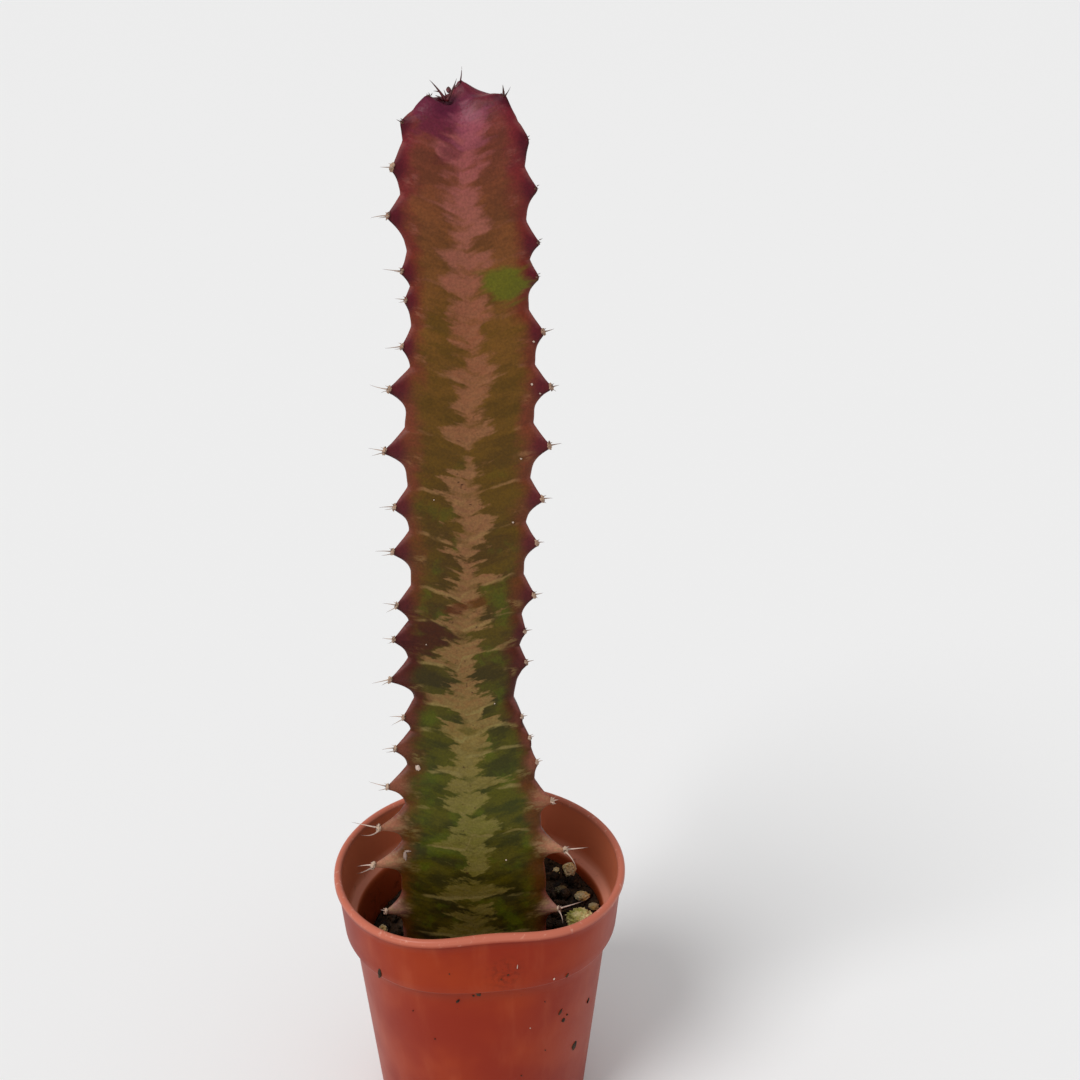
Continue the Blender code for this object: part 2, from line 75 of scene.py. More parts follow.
Triple = tuple[float, float, float]
Colour = Triple
Stops = tuple[tuple[float, Colour], ...]
Point = tuple[float, float]
Face = tuple[int, ...]
Shape = tuple[list[Vector], list[Face]]
Socket = bpy.types.NodeSocket
Wire = Socket | float | Colour


# ---- plain helpers -----------------------------------------------------------------
def srgb(red: float, green: float, blue: float) -> Colour:
    """Turns a display colour into a linear one.

    Args:
        red: Red from 0 to 255.
        green: Green from 0 to 255.
        blue: Blue from 0 to 255.

    Returns:
        The linear red, green and blue from 0 to 1.
    """

    def channel(value: float) -> float:
        """Undoes the display curve for one channel."""
        share = value / 255.0
        return share / 12.92 if share <= 0.04045 else ((share + 0.055) / 1.055) ** 2.4

    return channel(red), channel(green), channel(blue)


def seen(red: float, green: float, blue: float) -> Colour:
    """Gives the base colour that shows as a display colour on a satin surface.

    Args:
        red: Red from 0 to 255.
        green: Green from 0 to 255.
        blue: Blue from 0 to 255.

    Returns:
        The linear colour less the little white that the surface's own gloss adds.
    """
    return tuple(max(DARKEST, (part - GLOSS_WHITE) * LIGHT_SHARE) for part in srgb(red, green, blue))


def stops(*rows: tuple[float, float, float, float]) -> Stops:
    """Gives a ramp's stops, each from its position and the display colour it shows as."""
    return tuple((position, seen(*colour)) for position, *colour in rows)


def smooth_step(share: float) -> float:
    """Eases a share, cut to 0 to 1, in and out."""
    share = min(1.0, max(0.0, share))
    return share * share * (3.0 - 2.0 * share)


def polar(radius: float, azimuth: float, height: float = 0.0) -> Vector:
    """Gives the point at a radius and an azimuth in degrees from +X towards +Y."""
    angle = math.radians(azimuth)
    return Vector((radius * math.cos(angle), radius * math.sin(angle), height))


def mesh_piece(name: str, points: list[Vector], faces: list[Face]) -> bpy.types.Object:
    """Makes a smooth-shaded mesh object in the scene.

    Args:
        name: The object's name.
        points: Its points.
        faces: Its faces as indices of points.

    Returns:
        The new object.
    """
    mesh = bpy.data.meshes.new(name)
    mesh.from_pydata([tuple(point) for point in points], [], faces)
    mesh.validate()
    made = bpy.data.objects.new(name, mesh)
    bpy.context.scene.collection.objects.link(made)
    mesh.shade_smooth()
    return made


def give_values(piece: bpy.types.Object, name: str, values: list[float]) -> None:
    """Stores one named number per point, for a material to read."""
    attribute = piece.data.attributes.new(name, "FLOAT", "POINT")
    attribute.data.foreach_set("value", values)


def place(piece: bpy.types.Object, finish: bpy.types.Material, slot: str, *nodes: str) -> None:
    """Dresses a piece and ties it to the frame.

    Args:
        piece: The finished mesh object.
        finish: Its material.
        slot: The name of a material slot; not used.
        *nodes: The model's nodes that it stands for.
    """
    piece.data.materials.append(finish)
    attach(piece, ROOT)
    if nodes:
        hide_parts(*nodes)
    LOG.info("%s: %d faces", piece.name, len(piece.data.polygons))


@dataclass
class Mould:
    """Collects points, faces and per-point values for one mesh."""

    points: list[Vector] = field(default_factory=list)
    faces: list[Face] = field(default_factory=list)
    values: dict[str, list[float]] = field(default_factory=dict)

    def add(self, points: list[Vector], faces: list[Face], **values: list[float]) -> None:
        """Adds one closed shape.

        Args:
            points: The shape's points.
            faces: Its faces, counted from its own first point.
            **values: One list of per-point numbers for each named value.
        """
        start = len(self.points)
        self.points += points
        self.faces += [tuple(start + i for i in face) for face in faces]
        for name, numbers in values.items():
            self.values.setdefault(name, []).extend(numbers)

    def lump(
        self, ball: Shape, centre: Vector, turn: Matrix, half: Vector, offset: Vector,
        *swells: tuple[float, float], **levels: float,
    ) -> None:
        """Adds one uneven lump.

        Args:
            ball: A unit ball's points and faces.
            centre: The lump's middle.
            turn: Turns its own axes into place.
            half: Its half size along them.
            offset: Where in the noise it lies, which gives it its own shape.
            *swells: Depth and fineness of each layer of noise.
            **levels: Named values, each the same at all its points.
        """
        points = []
        for spot in ball[0]:
            swell = 1.0 + sum(depth * noise.noise(spot * fine + offset) for depth, fine in swells)
            points.append(centre + turn @ (spot * half * swell))
        self.add(points, ball[1], **{name: [level] * len(points) for name, level in levels.items()})

    def cast(self, name: str) -> bpy.types.Object:
        """Makes the object with all its values."""
        piece = mesh_piece(name, self.points, self.faces)
        for value_name, numbers in self.values.items():
            give_values(piece, value_name, numbers)
        return piece


def ring_faces(rings: int, count: int) -> list[Face]:
    """Gives the faces that skin stacked rings of points and close both ends.

    Args:
        rings: How many rings there are.
        count: Points in each ring.

    Returns:
        The faces as indices, ring after ring.
    """
    faces: list[Face] = []
    for ring in range(rings - 1):
        for i in range(count):
            j = (i + 1) % count
            low, high = ring * count, (ring + 1) * count
            faces.append((low + i, low + j, high + j, high + i))
    faces.append(tuple(reversed(range(count))))
    faces.append(tuple((rings - 1) * count + i for i in range(count)))
    return faces


def tapered_tube(path: list[Vector], radii: list[float], sides: int) -> Shape:
    """Sweeps a round section that changes size along a path.

    Args:
        path: The centre line's points.
        radii: The radius at each of them.
        sides: Sides of the section.

    Returns:
        The tube's points and faces, closed at both ends.
    """
    points: list[Vector] = []
    for i, (centre, radius) in enumerate(zip(path, radii)):
        way = path[min(i + 1, len(path) - 1)] - path[max(i - 1, 0)]
        turn = way.to_track_quat("Z", "Y")
        for k in range(sides):
            angle = 2.0 * math.pi * k / sides
            points.append(centre + turn @ Vector((math.cos(angle), math.sin(angle), 0.0)) * radius)
    return points, ring_faces(len(path), sides)


def unit_ball(detail: int) -> Shape:
    """Gives a unit ball's points and faces.

    Args:
        detail: How many times its first twenty faces are divided.

    Returns:
        The points and the faces.
    """
    shape = bmesh.new()
    bmesh.ops.create_icosphere(shape, subdivisions=detail, radius=1.0)
    points = [vertex.co.copy() for vertex in shape.verts]
    faces = [tuple(vertex.index for vertex in face.verts) for face in shape.faces]
    shape.free()
    return points, faces


def run(start: Point, end: Point, count: int) -> list[Point]:
    """Gives the ends of a straight line and the points that part it in equal lengths."""
    shares = [i / count for i in range(count + 1)]
    return [(start[0] + (end[0] - start[0]) * s, start[1] + (end[1] - start[1]) * s) for s in shares]


# ---- shader building ---------------------------------------------------------------
class Blend(Enum):
    """How a colour is laid over another."""

    MIX = "MIX"
    MULTIPLY = "MULTIPLY"


class Graph:
    """A node tree with short calls for the nodes that the finishes use."""

    def __init__(self, tree: bpy.types.NodeTree) -> None:
        """Keeps the tree that the calls add to."""
        self.tree = tree

    def feed(self, socket: Socket, value: Wire) -> None:
        """Links or sets a socket.

        Args:
            socket: The input to fill.
            value: A socket to link from, or a constant to set.
        """
        if isinstance(value, bpy.types.NodeSocket):
            self.tree.links.new(value, socket)
        elif isinstance(value, tuple):
            socket.default_value = (*value, 1.0) if len(socket.default_value) == 4 else value
        else:
            socket.default_value = value

    def give(self, node: bpy.types.Node, **inputs: Wire) -> bpy.types.Node:
        """Feeds a node's inputs by name, with underscores for spaces, and gives it back."""
        for name, given in inputs.items():
            self.feed(node.inputs[name.replace("_", " ")], given)
        return node

    def node(self, kind: str, **settings: object) -> bpy.types.Node:
        """Adds a node of a kind and applies its settings."""
        made = self.tree.nodes.new(kind)
        for name, value in settings.items():
            setattr(made, name, value)
        return made

    def math(self, operation: str, a: Wire, b: Wire = 0.0, clamp: bool = False) -> Socket:
        """Adds a two-input operation and gives its result."""
        made = self.node("ShaderNodeMath", operation=operation, use_clamp=clamp)
        self.feed(made.inputs[0], a)
        self.feed(made.inputs[1], b)
        return made.outputs[0]

    def times(self, *factors: Wire) -> Socket:
        """Multiplies values."""
        return reduce(lambda a, b: self.math("MULTIPLY", a, b), factors)

    def plus(self, *terms: Wire) -> Socket:
        """Adds values up."""
        return reduce(lambda a, b: self.math("ADD", a, b), terms)

    def minus(self, a: Wire, b: Wire) -> Socket:
        """Takes one value from another."""
        return self.math("SUBTRACT", a, b)

    def sway(self, cloud: Socket, amount: Wire) -> Socket:
        """Makes cloudy noise a push either way, by this much from end to end."""
        return self.times(self.minus(cloud, 0.5), amount)

    def fade(self, value: Wire, low: Wire, high: Wire, start: float = 0.0, end: float = 1.0) -> Socket:
        """Maps a value smoothly from low..high to start..end, and holds it beyond."""
        made = self.node("ShaderNodeMapRange", interpolation_type="SMOOTHSTEP")
        for socket, given in zip(made.inputs[:5], (value, low, high, start, end)):
            self.feed(socket, given)
        return made.outputs[0]

    def window(self, value: Socket, opens: float, full: float, falls: float, closed: float) -> Socket:
        """Gives 1 from full to falls, easing down to 0 at opens and at closed."""
        return self.times(self.fade(value, opens, full), self.fade(value, closed, falls))

    def mix(self, share: Wire, a: Wire, b: Wire, blend: Blend = Blend.MIX) -> Socket:
        """Lays colour b over colour a by a share."""
        made = self.node("ShaderNodeMix", data_type="RGBA", blend_type=blend.value)
        for place_of, given in ((0, share), (6, a), (7, b)):
            self.feed(made.inputs[place_of], given)
        return made.outputs[2]

    def ramp(self, share: Wire, stops: Stops) -> Socket:
        """Looks a share up in a row of colours."""
        made = self.node("ShaderNodeValToRGB")
        elements = made.color_ramp.elements
        while len(elements) < len(stops):
            elements.new(1.0)
        for element, (position, colour) in zip(elements, stops):
            element.position = position
            element.color = (*colour, 1.0)
        self.feed(made.inputs[0], share)
        return made.outputs[0]

    def noise(self, vector: Wire, scale: Wire, detail: float = 3.0, roughness: float = 0.55) -> Socket:
        """Adds cloudy noise and gives its value, centred on 0.5."""
        made = self.node("ShaderNodeTexNoise")
        return self.give(made, Vector=vector, Scale=scale, Detail=detail, Roughness=roughness).outputs["Fac"]

    def cells(self, vector: Wire, scale: Wire) -> Socket:
        """Adds cell noise and gives the distance to the nearest cell's middle."""
        return self.give(self.node("ShaderNodeTexVoronoi"), Vector=vector, Scale=scale).outputs["Distance"]

    def value(self, name: str) -> Socket:
        """Reads a named per-point number."""
        return self.node("ShaderNodeAttribute", attribute_name=name).outputs["Fac"]

    def cycle(self, name: str) -> Socket:
        """Reads how far over the nearest level of a repeating run a point is."""
        turn = self.math("ARCTAN2", self.value(f"{name}_sine"), self.value(f"{name}_cosine"))
        return self.times(turn, self.math("DIVIDE", self.value(f"{name}_pitch"), 2.0 * math.pi))

    def where(self) -> Socket:
        """Gives the place in the object's own frame."""
        return self.node("ShaderNodeTexCoord").outputs["Object"]

    def vector(self, operation: str, a: Wire, b: Wire = (0.0, 0.0, 0.0)) -> bpy.types.Node:
        """Adds a vector operation and gives its node."""
        made = self.node("ShaderNodeVectorMath", operation=operation)
        self.feed(made.inputs[0], a)
        self.feed(made.inputs[1], b)
        return made

    def stretched(self, vector: Wire, by: Triple) -> Socket:
        """Scales a vector's three parts on their own."""
        return self.vector("MULTIPLY", vector, by).outputs[0]

    def split(self, vector: Wire) -> tuple[Socket, ...]:
        """Gives a vector's three parts."""
        return tuple(self.give(self.node("ShaderNodeSeparateXYZ"), Vector=vector).outputs)

    def join(self, x: Wire, y: Wire, z: Wire) -> Socket:
        """Makes a vector of three parts."""
        return self.give(self.node("ShaderNodeCombineXYZ"), X=x, Y=y, Z=z).outputs[0]

    def group(self, tree: bpy.types.NodeTree, **inputs: Wire) -> Socket:
        """Places a shared effect and gives its output."""
        return self.give(self.node("ShaderNodeGroup", node_tree=tree), **inputs).outputs[0]

    def bump(self, height: Wire, depth: float, strength: float = 1.0) -> Socket:
        """Turns a height from 0 to 1 into a normal, depth metres deep."""
        made = self.node("ShaderNodeBump")
        return self.give(made, Height=height, Distance=depth, Strength=strength).outputs["Normal"]


class Effects:
    """The shader node groups that more than one finish uses, each built once."""

    def __init__(self) -> None:
        """Builds every group."""
        self._mottle = self._build_mottle()
        self._pores = self._build_pores()
        self._soil_film = self._build_soil_film()

    def patches(self, g: Graph, at: Socket, scale: float, cover: float, softness: float) -> Socket:
        """Lays ragged patches over a share of the surface and gives their mask."""
        return g.group(self._mottle, Vector=at, Scale=scale, Cover=cover, Softness=softness)

    def pores(self, g: Graph, at: Socket, scale: float, pits: float) -> Socket:
        """Lays fine relief and gives its height."""
        return g.group(self._pores, Vector=at, Scale=scale, Pits=pits)

    def film(self, g: Graph, at: Socket, level: float, reach: float, amount: float) -> Socket:
        """Lays compost dust over a level, in metres, and gives its mask."""
        return g.group(self._soil_film, Vector=at, Level=level, Reach=reach, Amount=amount)

    @staticmethod
    def _new(name: str, inputs: tuple[str, ...], output: str) -> tuple[Graph, dict[str, Socket], Socket]:
        """Starts a group that takes a place and plain numbers and gives one number.

        Args:
            name: The group's name.
            inputs: The names of the numbers it takes.
            output: The name of the number it gives.

        Returns:
            The graph to add to, the group's inputs by name, and its output to feed.
        """
        tree = bpy.data.node_groups.new(name, "ShaderNodeTree")
        tree.interface.new_socket("Vector", in_out="INPUT", socket_type="NodeSocketVector")
        for number in inputs:
            tree.interface.new_socket(number, in_out="INPUT", socket_type="NodeSocketFloat")
        tree.interface.new_socket(output, in_out="OUTPUT", socket_type="NodeSocketFloat")
        graph = Graph(tree)
        given = {socket.name: socket for socket in graph.node("NodeGroupInput").outputs}
        return graph, given, graph.node("NodeGroupOutput").inputs[output]

    def _build_mottle(self) -> bpy.types.NodeTree:
        """Patches: cloudy noise whose share and sharpness are set, with ragged edges."""
        g, given, mask = self._new("patches", ("Scale", "Cover", "Softness"), "Mask")
        cloud = g.noise(given["Vector"], given["Scale"], 4.0, 0.6)
        middle = g.plus(g.times(g.minus(1.0, given["Cover"]), 0.5), 0.25)
        low, high = g.minus(middle, given["Softness"]), g.plus(middle, given["Softness"])
        g.feed(mask, g.fade(cloud, low, high))
        return g.tree

    def _build_pores(self) -> bpy.types.NodeTree:
        """Fine relief: small pits on a gently uneven ground, as a height."""
        g, given, height = self._new("pores", ("Scale", "Pits"), "Height")
        dip = g.fade(g.cells(given["Vector"], given["Scale"]), 0.05, 0.6)
        ground = g.noise(given["Vector"], g.times(given["Scale"], 0.45), 5.0, 0.5)
        rest = g.times(ground, g.minus(1.0, given["Pits"]))
        g.feed(height, g.plus(g.times(dip, given["Pits"]), rest))
        return g.tree

    def _build_soil_film(self) -> bpy.types.NodeTree:
        """Dried compost dust: thickest just over a height, thinning upwards in blotches."""
        g, given, mask = self._new("soil_film", ("Level", "Reach", "Amount"), "Mask")
        above = g.math("DIVIDE", g.minus(g.split(given["Vector"])[2], given["Level"]), given["Reach"])
        thin = g.math("SUBTRACT", 1.0, above, clamp=True)
        blotch = g.noise(given["Vector"], 420.0, 6.0, 0.7)
        g.feed(mask, g.times(g.fade(blotch, g.minus(0.72, g.times(thin, 0.4)), 0.8), given["Amount"]))
        return g.tree


@dataclass(frozen=True)
class Gloss:
    """Constant values of a surface's shader."""

    roughness: float
    coat: float = 0.0
    coat_roughness: float = 0.3
    specular: float = 0.5


def new_finish(name: str, gloss: Gloss) -> tuple[bpy.types.Material, Graph, bpy.types.Node]:
    """Starts a material.

    Args:
        name: The material's name.
        gloss: The constant values of its shader.

    Returns:
        The material, its graph and its Principled shader.
    """
    made = bpy.data.materials.new(name)
    made.use_nodes = True
    g, shader = Graph(made.node_tree), made.node_tree.nodes["Principled BSDF"]
    g.give(shader, Roughness=gloss.roughness, Coat_Weight=gloss.coat,
           Coat_Roughness=gloss.coat_roughness, Specular_IOR_Level=gloss.specular)
    return made, g, shader


# ---- finishes ----------------------------------------------------------------------
@dataclass(frozen=True)
class SkinMark:
    """A patch of skin with its own colour, at a place on the stem.

    Attributes:
        where: Its middle, in metres.
        half: Its half size along X, Y and Z, in metres.
        colour: Its colour.
        amount: How strongly it shows.
        ragged: How uneven its edge is.
    """

    where: Triple
    half: Triple
    colour: Colour
    amount: float
    ragged: float = 0.5


@dataclass(frozen=True)
class SkinReadings:
    """What the skin's layers read at each point: its place, that place drawn out along
    the streaks, fine, middling and coarse noise, and the stored values."""

    where: Socket
    streaked: Socket
    feather: Socket
    blotch: Socket
    coarse: Socket
    level: Socket
    middle: Socket
    share: Socket
    tooth: Socket
    over_line: Socket
    over_tip: Socket


@dataclass(frozen=True)
class SkinFinish:
    """The stem's skin: dark green low down to wine red at the tip, a pale feathered band
    up the middle of each face, redder ribs, purple teeth and pale leaf-trace lines."""

    gloss: Gloss = Gloss(roughness=0.5, coat=0.02, coat_roughness=0.3, specular=0.17)
    patch: Stops = stops(
        (0.00, 64, 54, 14), (0.08, 76, 68, 12), (0.16, 82, 76, 10), (0.24, 82, 80, 10), (0.36, 76, 68, 20),
        (0.45, 88, 70, 28), (0.60, 98, 72, 30), (0.74, 114, 78, 38), (0.86, 124, 74, 46),
        (0.94, 120, 58, 52), (1.00, 96, 38, 52),
    )
    deep: Stops = stops(
        (0.00, 44, 36, 8), (0.12, 58, 54, 4), (0.22, 62, 64, 2), (0.34, 60, 54, 8), (0.50, 80, 60, 18),
        (0.75, 98, 70, 26), (0.90, 108, 60, 44), (1.00, 80, 26, 46),
    )
    band: Stops = stops(
        (0.00, 96, 82, 38), (0.10, 108, 96, 44), (0.18, 116, 110, 54), (0.26, 122, 106, 56),
        (0.34, 134, 98, 62), (0.50, 136, 92, 64), (0.60, 140, 96, 66), (0.74, 142, 86, 62),
        (0.84, 156, 94, 80), (0.92, 156, 82, 86), (0.97, 124, 56, 68), (1.00, 100, 44, 56),
    )
    rib: Stops = stops(
        (0.00, 66, 44, 26), (0.10, 86, 56, 30), (0.20, 96, 60, 34), (0.30, 82, 46, 28), (0.38, 74, 36, 28),
        (0.48, 102, 58, 36), (0.64, 116, 62, 44), (0.80, 112, 50, 38), (0.93, 118, 44, 50),
        (1.00, 104, 38, 52),
    )
    tooth: Stops = stops(
        (0.00, 128, 102, 96), (0.06, 142, 106, 96), (0.14, 176, 122, 96), (0.22, 142, 88, 68),
        (0.30, 98, 54, 42), (0.40, 78, 38, 38), (0.55, 92, 42, 44), (0.80, 92, 34, 40), (1.00, 82, 26, 42),
    )
    vein: Stops = stops(
        (0.00, 118, 104, 62), (0.30, 134, 120, 72), (0.55, 146, 110, 70), (0.80, 144, 92, 70),
        (1.00, 134, 72, 76),
    )
    freckle: Colour = seen(58, 36, 18)
    dust: Colour = seen(40, 30, 22)
    green: Colour = seen(84, 94, 16)
    stripe: Colour = seen(150, 126, 90)
    # Painted highlight: the pale pink sheen on each tooth's upper side, where light from above falls.
    painted_tooth_highlight: Colour = seen(150, 92, 88)
    # Painted shade: darker purple just under each tooth tip, where the tooth shades the crest.
    painted_under_tooth_shade: Colour = seen(58, 18, 32)
    edge: Colour = seen(150, 72, 66)
    marks: tuple[SkinMark, ...] = (
        SkinMark((0.0063, -0.0060, 0.1672), (0.0036, 0.006, 0.0027), seen(98, 98, 34), 0.9, 0.35),
        SkinMark((-0.0085, -0.0068, 0.1052), (0.0042, 0.005, 0.0034), seen(70, 32, 28), 0.75),
        SkinMark((-0.0026, -0.0054, 0.1870), (0.0022, 0.005, 0.0012), seen(88, 34, 44), 0.45),
        SkinMark((-0.0029, -0.0022, 0.1935), (0.0023, 0.0034, 0.0022), seen(46, 12, 28), 1.0, 0.25),
        SkinMark((-0.0030, -0.0030, 0.1925), (0.0060, 0.007, 0.0030), seen(104, 38, 62), 0.7),
        SkinMark((0.0012, -0.0050, 0.1905), (0.0024, 0.005, 0.0030), seen(158, 84, 98), 0.5),
        SkinMark((-0.0030, -0.0060, 0.1105), (0.0018, 0.004, 0.0010), seen(92, 48, 30), 0.7),
        SkinMark((0.0008, -0.0060, 0.1120), (0.0020, 0.004, 0.0012), seen(96, 52, 30), 0.6),
    )

    def make(self, effects: Effects) -> bpy.types.Material:
        """Builds the material from the skin's per-point values."""
        made, g, shader = new_finish("stem_skin", self.gloss)
        where, middle = g.where(), g.value("from_middle")
        x, y, z = g.split(where)

        # Streaks run out and up from the middle, so their frame leans with the distance.
        streaked = g.join(g.times(x, 0.36), g.times(y, 0.36), g.plus(z, g.times(middle, -0.4 * MM)))
        at = SkinReadings(
            where, streaked, g.noise(streaked, 1500.0, 3.0, 0.65), g.noise(streaked, 520.0, 2.5, 0.55),
            g.noise(where, 210.0, 2.0, 0.5), g.value("level"), middle, g.value("rib_share"),
            g.value("tooth"), g.cycle("line"), g.cycle("tip"),
        )
        colour = self._ribbed(g, at, self._banded(g, effects, at))
        colour = self._marked(g, at, colour)

        # Fine grain, and dark freckles along the band.
        shade = g.fade(g.noise(where, 2600.0, 2.0, 0.5), 0.3, 0.7, 0.86, 1.1)
        colour = g.mix(1.0, colour, g.join(shade, shade, shade), Blend.MULTIPLY)
        freckle = g.times(
            effects.patches(g, where, 1050.0, 0.16, 0.05), g.fade(at.blotch, 0.4, 0.52),
            g.fade(middle, 3.6, 1.8, 0.0, 0.8), g.fade(at.level, 0.75, 0.6),
        )
        colour = g.mix(freckle, colour, self.freckle)
        relief = g.plus(effects.pores(g, where, 1900.0, 0.35), g.times(g.noise(streaked, 700.0), 1.2))
        g.give(
            shader, Base_Color=g.mix(effects.film(g, where, 0.036, 0.006, 0.6), colour, self.dust),
            Roughness=g.fade(g.noise(where, 190.0), 0.3, 0.7, 0.42, 0.58),
            Normal=g.bump(relief, 0.09 * MM, 0.8),
        )
        return made

    def _banded(self, g: Graph, effects: Effects, at: SkinReadings) -> Socket:
        """Paints the dark patches, the pale feathered band and the leaf-trace lines.

        Args:
            g: The material's graph.
            effects: The shared node groups.
            at: What the skin reads at each point.

        Returns:
            The colour.
        """
        level, share = at.level, at.share
        patchy = effects.patches(g, at.streaked, 330.0, 0.5, 0.1)
        ground = g.mix(patchy, g.ramp(level, self.patch), g.ramp(level, self.deep))
        green = g.times(effects.patches(g, at.where, 150.0, 0.3, 0.08), g.fade(level, 0.7, 0.45, 0.0, 0.55))
        ground = g.mix(g.times(green, g.fade(share, 0.8, 0.55)), ground, self.green)

        # Each line carries a pale wing over it, widest at the line and ragged at its edge.
        wavy = g.plus(at.over_line, g.sway(at.coarse, 2.4))
        wing = g.times(g.window(wavy, -0.55, 0.15, 0.2, 4.4), g.fade(level, 0.55, 0.3, 2.2, 3.6))
        wobble = g.sway(at.blotch, g.fade(level, 0.85, 0.4, 6.5, 14.0))
        hairs = g.sway(at.feather, g.fade(level, 0.8, 0.4, 3.6, 6.5))
        width = g.plus(wing, wobble, hairs, g.sway(at.coarse, 5.0), g.fade(level, 0.3, 0.6, 2.1, 1.75))
        inside = g.times(g.minus(width, at.middle), g.fade(level, 0.5, 0.8, 1.0, 0.62))
        band = g.times(g.fade(inside, -0.75, 0.95), g.fade(share, 0.8, 0.5, 0.0, 0.9))
        vein = g.ramp(level, self.vein)
        tone = g.mix(g.fade(at.feather, 0.35, 0.65, 0.0, 0.5), g.ramp(level, self.band), vein)
        tone = g.mix(g.fade(at.blotch, 0.52, 0.34, 0.0, 0.6), tone, g.ramp(level, self.patch))
        line = g.times(
            g.fade(g.math("ABSOLUTE", wavy), 0.5, 0.12), g.fade(at.blotch, 0.4, 0.56),
            g.fade(share, 0.9, 0.6, 0.25, 0.8), g.fade(level, 0.85, 0.6, 0.25, 1.0),
        )
        return g.mix(line, g.mix(band, ground, tone), vein)

    def _ribbed(self, g: Graph, at: SkinReadings, colour: Socket) -> Socket:
        """Reddens the ribs and darkens the teeth, with a pale dash under each tooth, a painted highlight on each
        tooth's upper side and painted shade just under each tip.

        Args:
            g: The material's graph.
            at: What the skin reads at each point.
            colour: The colour so far.

        Returns:
            The colour.
        """
        level, share, tooth, over_tip = at.level, at.share, at.tooth, at.over_tip
        red = g.plus(share, g.sway(at.coarse, 0.55), g.sway(at.feather, 0.25))
        dash = g.times(
            g.window(over_tip, -3.4, -1.8, -1.2, -0.5), g.window(share, 0.5, 0.62, 0.76, 0.9),
            g.fade(at.feather, 0.42, 0.6, 0.0, 0.6), g.fade(at.coarse, 0.42, 0.56),
        )
        stripe = g.times(
            g.fade(level, 0.28, 0.16), g.fade(tooth, 0.05, 0.3), g.fade(at.feather, 0.45, 0.6, 0.0, 0.5))
        # Painted highlight on each tooth's upper side, just above its tip near the crest.
        painted_tooth_highlight = g.times(g.window(over_tip, 0.3, 1.6, 3.0, 4.6), g.fade(share, 0.8, 1.0, 0.0, 0.4))
        # Painted shade on the crest just under each tooth tip.
        dark = g.times(
            g.window(over_tip, -2.6, -1.2, -0.5, 0.1), g.fade(share, 0.86, 1.0),
            g.fade(tooth, 0.2, 0.6, 0.0, 0.75), g.fade(level, 0.2, 0.3),
        )
        edge = g.times(g.fade(share, 0.96, 1.0), g.fade(tooth, 0.4, 0.05, 0.0, 0.3))
        for mask, tone in (
            (g.fade(red, 0.5, 0.84), g.ramp(level, self.rib)), (dash, g.ramp(level, self.vein)),
            (g.fade(tooth, 0.1, 0.6), g.ramp(level, self.tooth)), (stripe, self.stripe),
            (painted_tooth_highlight, self.painted_tooth_highlight), (dark, self.painted_under_tooth_shade), (edge, self.edge),
        ):
            colour = g.mix(mask, colour, tone)
        return colour

    def _marked(self, g: Graph, at: SkinReadings, colour: Socket) -> Socket:
        """Lays the listed marks over the colour, each with a ragged edge."""
        for mark in self.marks:
            away = g.vector("SUBTRACT", at.where, mark.where).outputs[0]
            scaled = g.stretched(away, tuple(1.0 / size for size in mark.half))
            length = g.vector("LENGTH", scaled).outputs["Value"]
            uneven = g.sway(at.blotch, 6.5 * mark.ragged)
            colour = g.mix(g.fade(g.plus(length, uneven), 1.3, 0.6, 0.0, mark.amount), colour, mark.colour)
        return colour


@dataclass(frozen=True)
class SpineFinish:
    """Woody shields and spines: pale and pinkish low down, dark brown near the tip."""

    gloss: Gloss = Gloss(roughness=0.5, specular=0.45)
    bleached: Colour = seen(208, 186, 170)
    spot: Colour = seen(62, 40, 32)
    tip: Colour = seen(58, 38, 30)
    shield: Stops = stops(
        (0.00, 196, 170, 148), (0.25, 190, 160, 136), (0.60, 184, 150, 124), (0.90, 150, 112, 90),
        (1.00, 92, 56, 46),
    )
    spine: Stops = stops(
        (0.00, 206, 178, 164), (0.22, 202, 172, 156), (0.36, 160, 132, 118), (0.70, 128, 98, 84),
        (0.92, 84, 56, 46), (1.00, 60, 30, 26),
    )

    def make(self, effects: Effects) -> bpy.types.Material:
        """Builds the material from the pieces' level, along and pale values."""
        made, g, shader = new_finish("woody_spines", self.gloss)
        at, level, along = g.where(), g.value("level"), g.value("along")
        wood = g.mix(g.value("pale"), g.ramp(level, self.spine), self.bleached)
        colour = g.mix(g.fade(along, 0.05, 0.35), g.ramp(level, self.shield), wood)
        spots = g.times(effects.patches(g, at, 1500.0, 0.42, 0.05), g.fade(along, 0.5, 0.1, 0.15, 0.8))
        colour = g.mix(g.fade(along, 0.72, 1.0, 0.0, 0.8), g.mix(spots, colour, self.spot), self.tip)
        g.give(shader, Base_Color=colour, Normal=g.bump(effects.pores(g, at, 3200.0, 0.3), 0.08 * MM))
        return made


